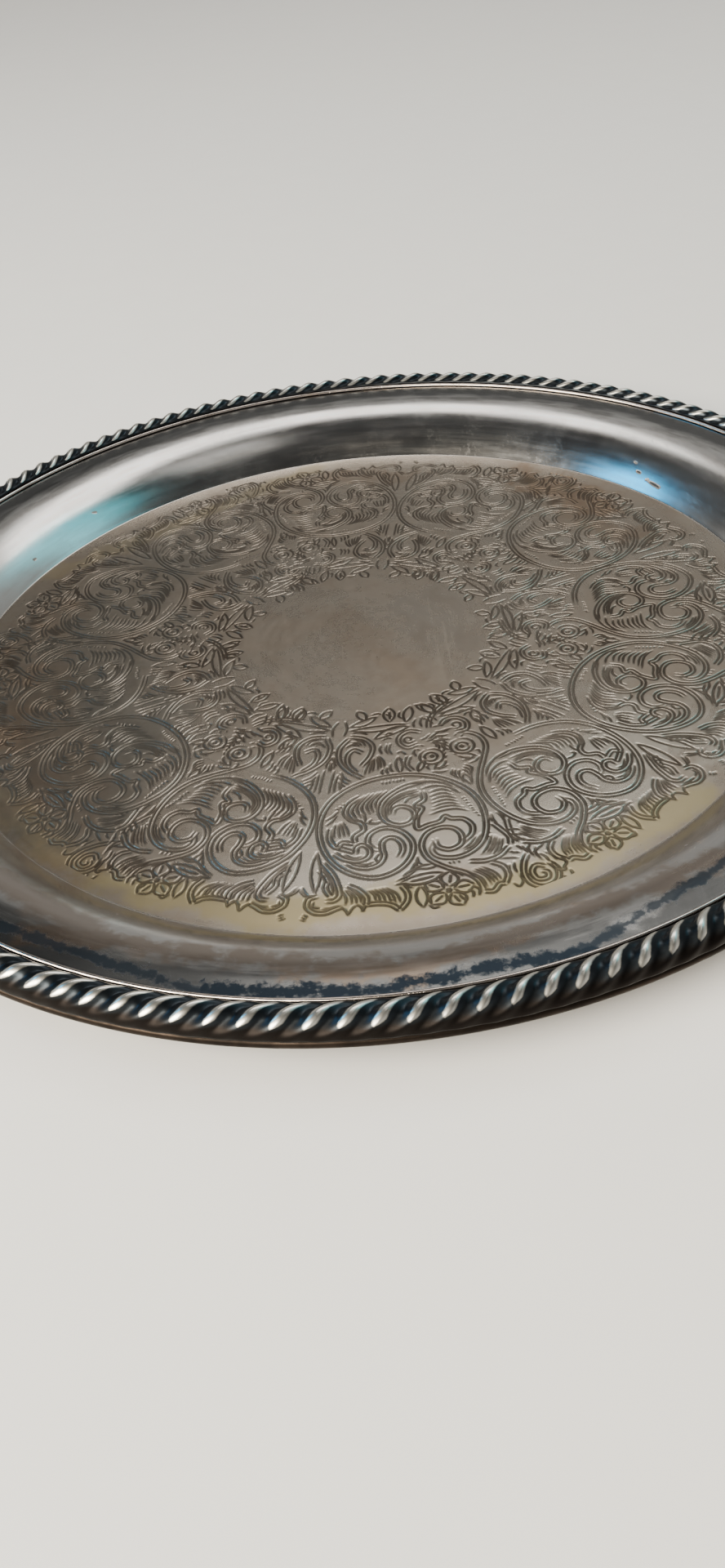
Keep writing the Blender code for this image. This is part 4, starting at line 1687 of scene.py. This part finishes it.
@dataclass
class GadroonBorder:
    """The four hollow strips of slanted S-shaped lobes, soldered end to end round the rim."""

    dish: Dish
    outer_radius: float = 190.5
    crest_height: float = 20.5
    toe_angle: float = radians(144.0)
    channel_half: Point = (3.6, 4.1)
    channel_gap: float = 0.06
    channel_steps: int = 8
    seat: float = 17.2
    strips: int = 4
    lobes: int = 144
    lean: float = 1.7
    swerve: float = 0.45
    relief: float = 1.3
    fade: Point = (0.42, 0.2)
    shallow: float = 0.14
    # Crest width and the bright stretch along each crest are set to where the highlights fall: painted
    # highlight on the crests and painted shade on the flanks, over the real tarnish in the hollows.
    crest_width: float = 0.37
    painted_sheen: Point = (0.16, 0.98)
    painted_sheen_fade: Point = (0.2, 0.06)
    columns_per_lobe: int = 24
    profile_rows: int = 34
    seam: float = 0.04

    def depth_at(self, share: np.ndarray) -> np.ndarray:
        """Return the hollows' depth from the outer edge (0) to the toe (1)."""
        ends = np.minimum(share / self.fade[0], (1.0 - share) / self.fade[1]).clip(0.0, 1.0)
        return self.relief * (self.shallow + (1.0 - self.shallow) * ends * ends * (3 - 2 * ends))

    def lean_at(self, share: np.ndarray) -> np.ndarray:
        """Return the angle that a lobe's S has turned, from the outer edge (0) to the toe (1)."""
        swerved = share + self.swerve * np.sin(2 * pi * share) / (2 * pi)
        return 2 * pi / self.lobes * self.lean * swerved

    def fall_at(self, phase: np.ndarray) -> np.ndarray:
        """Return how far below its crest a lobe is across its width, from 0 to 1."""
        return 0.5 + 0.5 * np.cos(2 * pi * phase)

    def tarnish_and_shade_at(self, phase: np.ndarray, share: np.ndarray) -> np.ndarray:
        """Work out how tarnished and shaded the lobes are: real tarnish in the hollows and painted shade on
        the flanks.

        Args:
            phase: Places along the strip, counted in lobes.
            share: Places from the outer edge (0) to the toe (1).

        Returns:
            The mask: 0 on the painted highlight stretch of a crest, 1 all round it.
        """
        aside = np.abs(phase % 1.0 - 0.5) / self.crest_width
        start, end = self.painted_sheen
        ends = np.minimum((share - start) / self.painted_sheen_fade[0], (end - share) / self.painted_sheen_fade[1])
        return 1.0 - (1.0 - aside).clip(0.0, 1.0) * ends.clip(0.0, 1.0)

    def face(self, phase: np.ndarray, share: np.ndarray) -> tuple[np.ndarray, np.ndarray]:
        """Work out the outer face of the lobes.

        Args:
            phase: Places along the strip, counted in lobes.
            share: Places from the outer edge (0) to the toe (1), one row each.

        Returns:
            The radius and the height of each point, in rows and columns.
        """
        centre = self.dish.rim_centre
        half = (self.outer_radius - centre[0], self.crest_height - centre[1])
        turned = self.toe_angle * share
        depth = self.depth_at(share) * self.fall_at(phase)[None, :]
        normal_r = np.cos(turned) / half[0]
        normal_z = np.sin(turned) / half[1]
        length = np.hypot(normal_r, normal_z)
        radius = centre[0] + half[0] * np.cos(turned) - depth * normal_r / length
        height = centre[1] + half[1] * np.sin(turned) - depth * normal_z / length
        return radius, height

    def channel(self, toe_radius: float) -> tuple[np.ndarray, np.ndarray]:
        """Work out the channel at the back of the lobes, down to the seat of their toe.

        Args:
            toe_radius: Radius of the toe.

        Returns:
            Radius and height of its points, one row each, and each point's place from the outer edge (0)
            to the toe (1).
        """
        curve = arc(self.dish.rim_centre, self.channel_half, 0.0, self.toe_angle - self.channel_gap,
                    self.channel_steps)
        share = [step / self.channel_steps for step in range(self.channel_steps + 1)]
        return np.array([*curve, (toe_radius, self.seat)]), np.array([*share, 1.0])[:, None]

    def strip(self, number: int, material: bpy.types.Material) -> bpy.types.Object:
        """Make one strip as a closed shell with its channel at the back.

        Args:
            number: The strip's number, from 0.
            material: The finish of the lobes.

        Returns:
            The strip.
        """
        sweep = 2 * pi / self.strips
        trim = self.seam / self.outer_radius / 2
        columns = self.lobes // self.strips * self.columns_per_lobe
        phase = np.arange(columns + 1) / self.columns_per_lobe
        angles = number * sweep + trim + (sweep - 2 * trim) * np.arange(columns + 1) / columns
        share = np.linspace(1.0, 0.0, self.profile_rows)[:, None]
        radius, height = self.face(phase, share)
        back, back_share = self.channel(float(radius[0].mean()))
        behind = np.ones((len(back), columns + 1))
        radius = np.vstack([radius, back[:, :1] * behind])
        height = np.vstack([height, back[:, 1:] * behind])
        around = angles + self.lean_at(np.vstack([share, back_share]))
        points = np.stack([radius * np.cos(around), radius * np.sin(around), height], -1)
        mesh = grid_mesh(f"gadroon_{number + 1}", points[:, ::-1], tube=True)
        # Tarnish with painted shade on the flanks, clear on the crests' painted highlight stretch; the
        # channel at the back is all dark.
        shade = np.vstack([self.tarnish_and_shade_at(phase[None, :], share), behind])
        write_mask(mesh, shade[:, ::-1])
        return place_piece(mesh.name, mesh, material, Slot.GADROON, f"gadroon_strip_{number + 1}")

    def build(self, material: bpy.types.Material) -> list[bpy.types.Object]:
        """Make the four strips, in order round the rim."""
        return [self.strip(number, material) for number in range(self.strips)]


@dataclass
class RimWires:
    """The half-round bead inside the lobes and the plain wire under their outer ends."""

    bead_radius: float = 179.7
    bead_half: Point = (0.7, 0.8)
    bead_seat: float = 17.2
    edge_centre: Point = (189.05, 12.9)
    edge_radius: float = 1.4
    steps: int = 720
    sharp_angle: float = radians(50.0)

    def bead(self, material: bpy.types.Material) -> bpy.types.Object:
        """Make the bead.

        Args:
            material: Its finish.

        Returns:
            The bead.
        """
        outline = arc((self.bead_radius, self.bead_seat), self.bead_half, pi, 0.0, 14)
        mesh = grid_mesh("bead_ring", turn(outline, self.steps), ring=True, tube=True)
        mesh.set_sharp_from_angle(angle=self.sharp_angle)
        return place_piece("bead_ring", mesh, material, Slot.BEAD, "bead_wire")

    def edge(self, material: bpy.types.Material) -> bpy.types.Object:
        """Make the edge wire.

        Args:
            material: Its finish.

        Returns:
            The edge wire.
        """
        half = (self.edge_radius, self.edge_radius)
        outline = arc(self.edge_centre, half, 0.0, -2 * pi, 20)[:-1]
        mesh = grid_mesh("edge_ring", turn(outline, self.steps), ring=True, tube=True)
        return place_piece("edge_ring", mesh, material, Slot.EDGE, "edge_wire")


def dress_solder(material: bpy.types.Material) -> None:
    """Give the solder inside the border its finish.

    Args:
        material: The finish.
    """
    for name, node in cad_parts.items():
        if name.startswith("solder_fill"):
            node.data.materials.clear()
            node.data.materials.append(material)
            LOG.info("%s: dressed", name)


# ---------------------------------------------------------------------------------------------
# The studio
# ---------------------------------------------------------------------------------------------


@dataclass(frozen=True)
class SoftBox:
    """A flat lamp that faces the salver.

    Args:
        name: The lamp's name.
        compass: Direction from the salver to the lamp, in degrees anticlockwise from +X.
        elevation: Height of the lamp over the horizon, in degrees.
        distance: Distance from the salver, in metres.
        size: Width and height of the lamp, in metres.
        power: Power in watts.
        colour: Colour of its light.
    """

    name: str
    compass: float
    elevation: float
    distance: float
    size: Point
    power: float
    colour: Colour

    def build(self) -> bpy.types.Object:
        """Hang the lamp.

        Returns:
            The lamp.
        """
        data = bpy.data.lights.new(self.name, "AREA")
        data.shape = "RECTANGLE"
        data.size, data.size_y = self.size
        data.energy = self.power
        data.color = self.colour
        lamp = put_in_scene(self.name, data)
        level = self.distance * cos(radians(self.elevation))
        turn_by = radians(self.compass)
        height = self.distance * sin(radians(self.elevation))
        lamp.location = (level * cos(turn_by), level * sin(turn_by), height)
        lamp.rotation_euler = lamp.location.to_track_quat("Z", "Y").to_euler()
        return lamp


@dataclass
class Studio:
    """A plain pale floor with a curved backdrop, soft lamps and a dim room.

    Args:
        floor_radius: Radius of the flat floor, in metres.
        backdrop: Radius and height of the backdrop's upper edge, in metres.
        paper_steps: Steps of the floor and the backdrop round the salver.
        floor_colour: Colour of the paper on the floor and the backdrop.
        horizon: Colour of the room where it is lit.
        shade: Colour of the room where it is dark.
        lamps: The soft lamps that show in the metal.
        overhead_tilt: Lean of the overhead light, in degrees.
        overhead_strength: Strength of the overhead light.
        overhead_spread: Apparent width of the overhead light, in degrees.
    """

    floor_radius: float = 4.0
    backdrop: Point = (6.5, 3.5)
    paper_steps: int = 96
    floor_colour: Colour = (0.72, 0.70, 0.67)
    horizon: Colour = (0.39, 0.39, 0.378)
    shade: Colour = (0.042, 0.044, 0.045)
    lamps: tuple[SoftBox, ...] = (
        SoftBox("back_softbox", 74.0, 60.0, 1.6, (1.02, 0.48), 5.0, (1.0, 0.985, 0.95)),
        SoftBox("ceiling_glow", 10.0, 77.0, 1.8, (0.5, 0.35), 0.5, (1.0, 0.98, 0.94)),
        SoftBox("left_softbox", 222.0, 35.0, 1.6, (1.5, 0.7), 82.0, (1.0, 0.93, 0.79)),
        SoftBox("cool_left", 163.0, 45.0, 1.45, (0.36, 0.25), 1.9, (0.0, 0.48, 1.0)),
        SoftBox("cool_right", 27.0, 53.0, 1.46, (0.7, 0.45), 1.15, (0.12, 0.84, 1.0)),
    )
    overhead_tilt: float = 10.0
    overhead_strength: float = 1.75
    overhead_spread: float = 75.0

    def room(self) -> None:
        """Light the room low down, and leave it dim overhead and on the left."""
        world = bpy.data.worlds.new("Studio Room")
        bpy.context.scene.world = world
        world.use_nodes = True
        board = NodeBoard(world.node_tree)
        side, ahead, height = board.split(board.add("TexCoord").outputs["Generated"])
        rise = board.most(board.spread(board.ramp(height, 0.3, 0.76), 0.5, 1.4),
                          board.times(board.ramp(height, 0.42, 0.26), 1.3))
        flank = board.most(board.ramp(side, -0.42, 0.28), board.ramp(side, -0.66, -0.88),
                           board.ramp(height, 0.53, 0.40))
        around = board.most(board.ramp(ahead, -0.4, 0.4), board.ramp(height, 0.60, 0.35))
        rear = board.times(board.most(board.ramp(ahead, 0.1, -0.4), board.ramp(side, -0.42, -0.60)),
                           board.ramp(height, 0.62, 0.42))
        lit = board.times(rise, board.ramp(height, 0.84, 0.70), board.spread(flank, 0.08, 1.0),
                          board.spread(around, 0.3, 1.0), board.spread(rear, 1.0, 2.2))
        background = world.node_tree.nodes["Background"]
        board.wire(board.blend(lit, self.shade, self.horizon), background.inputs["Color"])

    def paper(self) -> bpy.types.Material:
        """Build the pale paper of the floor and the backdrop.

        Returns:
            The paper's material.
        """
        material = bpy.data.materials.new("Studio Paper")
        material.use_nodes = True
        board = NodeBoard(material.node_tree)
        shader = material.node_tree.nodes["Principled BSDF"]
        mottle = board.noise(board.add("TexCoord").outputs["Object"], 40.0)
        darker = tuple(part * 0.96 for part in self.floor_colour)
        board.wire(board.blend(mottle, self.floor_colour, darker), shader.inputs["Base Color"])
        shader.inputs["Roughness"].default_value = 0.7
        return material

    def sheet(self, name: str, profile: Profile, material: bpy.types.Material) -> bpy.types.Object:
        """Turn a profile in metres into a sheet of paper round the salver.

        Args:
            name: The sheet's name.
            profile: Its radii and heights, from the middle outward.
            material: The paper.

        Returns:
            The sheet.
        """
        mesh = grid_mesh(name, turn(profile, self.paper_steps) / MM, ring=True)
        mesh.materials.append(material)
        sheet = put_in_scene(name, mesh)
        return sheet

    def floor(self) -> None:
        """Lay the floor that the salver stands on and curve the backdrop up round it."""
        paper = self.paper()
        reach, height = self.backdrop
        run = (reach - self.floor_radius, height)
        self.sheet("studio_floor", [(0.0005, 0.0), (0.6, 0.0), (self.floor_radius, 0.0)], paper)
        curve = arc((self.floor_radius, height), run, -pi / 2, 0.0, 12)
        backdrop = self.sheet("studio_backdrop", curve, paper)
        backdrop.visible_glossy = False

    def overhead(self) -> None:
        """Light the floor evenly from overhead, out of sight of the polished metal."""
        data = bpy.data.lights.new("overhead_light", "SUN")
        data.energy = self.overhead_strength
        data.angle = radians(self.overhead_spread)
        data.color = (1.0, 0.985, 0.96)
        lamp = put_in_scene("overhead_light", data)
        lamp.location = (0.0, 0.0, 2.5)
        lamp.rotation_euler = (radians(self.overhead_tilt), 0.0, 0.0)
        lamp.visible_glossy = False

    def build(self) -> None:
        """Set up the whole studio."""
        self.room()
        self.floor()
        self.overhead()
        for lamp in self.lamps:
            lamp.build()


@dataclass
class Viewpoint:
    """The camera, in front of the salver and above it, turned a little to one side.

    Args:
        distance: From the camera to the middle of the floor, in millimetres.
        elevation: Angle over the floor, in radians.
        swing: How far it looks to the right of the middle, as a slope.
        dip: How far it looks above the middle, as a slope.
        roll: Turn about its own axis, in radians.
        lens: Focal length, in millimetres.
        sensor: Width of the sensor, in millimetres.
        sheet: Height of the floor of the salver, in millimetres.
    """

    distance: float = 466.0
    elevation: float = radians(33.38)
    swing: float = -0.0131
    dip: float = -0.1096
    roll: float = radians(-6.74)
    lens: float = 30.0
    sensor: float = 36.0
    sheet: float = 1.2

    def build(self) -> bpy.types.Object:
        """Place the camera and make it the scene's own.

        Returns:
            The camera.
        """
        away = Vector((0.0, -cos(self.elevation), sin(self.elevation)))
        ahead = -away
        right = Vector((1.0, 0.0, 0.0))
        up = right.cross(ahead)
        ahead = (ahead + self.swing * right + self.dip * up).normalized()
        right = ahead.cross(up).normalized()
        up = right.cross(ahead)
        turned_right = cos(self.roll) * right + sin(self.roll) * up
        turned_up = cos(self.roll) * up - sin(self.roll) * right
        turned = Matrix((turned_right, turned_up, -ahead)).transposed()
        data = bpy.data.cameras.new("salver_camera")
        data.lens = self.lens
        data.sensor_width = self.sensor
        data.clip_start = 0.01
        camera = put_in_scene("salver_camera", data)
        where = away * self.distance * MM + Vector((0.0, 0.0, self.sheet * MM))
        camera.matrix_world = Matrix.Translation(where) @ turned.to_4x4()
        bpy.context.scene.camera = camera
        return camera


# ---------------------------------------------------------------------------------------------
# The salver
# ---------------------------------------------------------------------------------------------


def main() -> None:
    """Build the salver, its finishes, the studio and the camera."""
    logging.basicConfig(level=logging.INFO, format="%(name)s %(message)s")
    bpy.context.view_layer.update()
    shelf = EffectShelf()
    plate = SheetFinish().build(shelf)
    dish = Dish()
    dish.build(plate)
    EngravedFloor(dish).build(plate)
    GadroonBorder(dish).build(LobeFinish().build(shelf))
    wires = RimWires()
    wires.bead(BEAD_FINISH.build(shelf))
    wires.edge(SHADED_EDGE_FINISH.build(shelf))
    dress_solder(SOLDER_FINISH.build(shelf))
    Studio().build()
    Viewpoint().build()


if __name__ == "__main__":
    main()
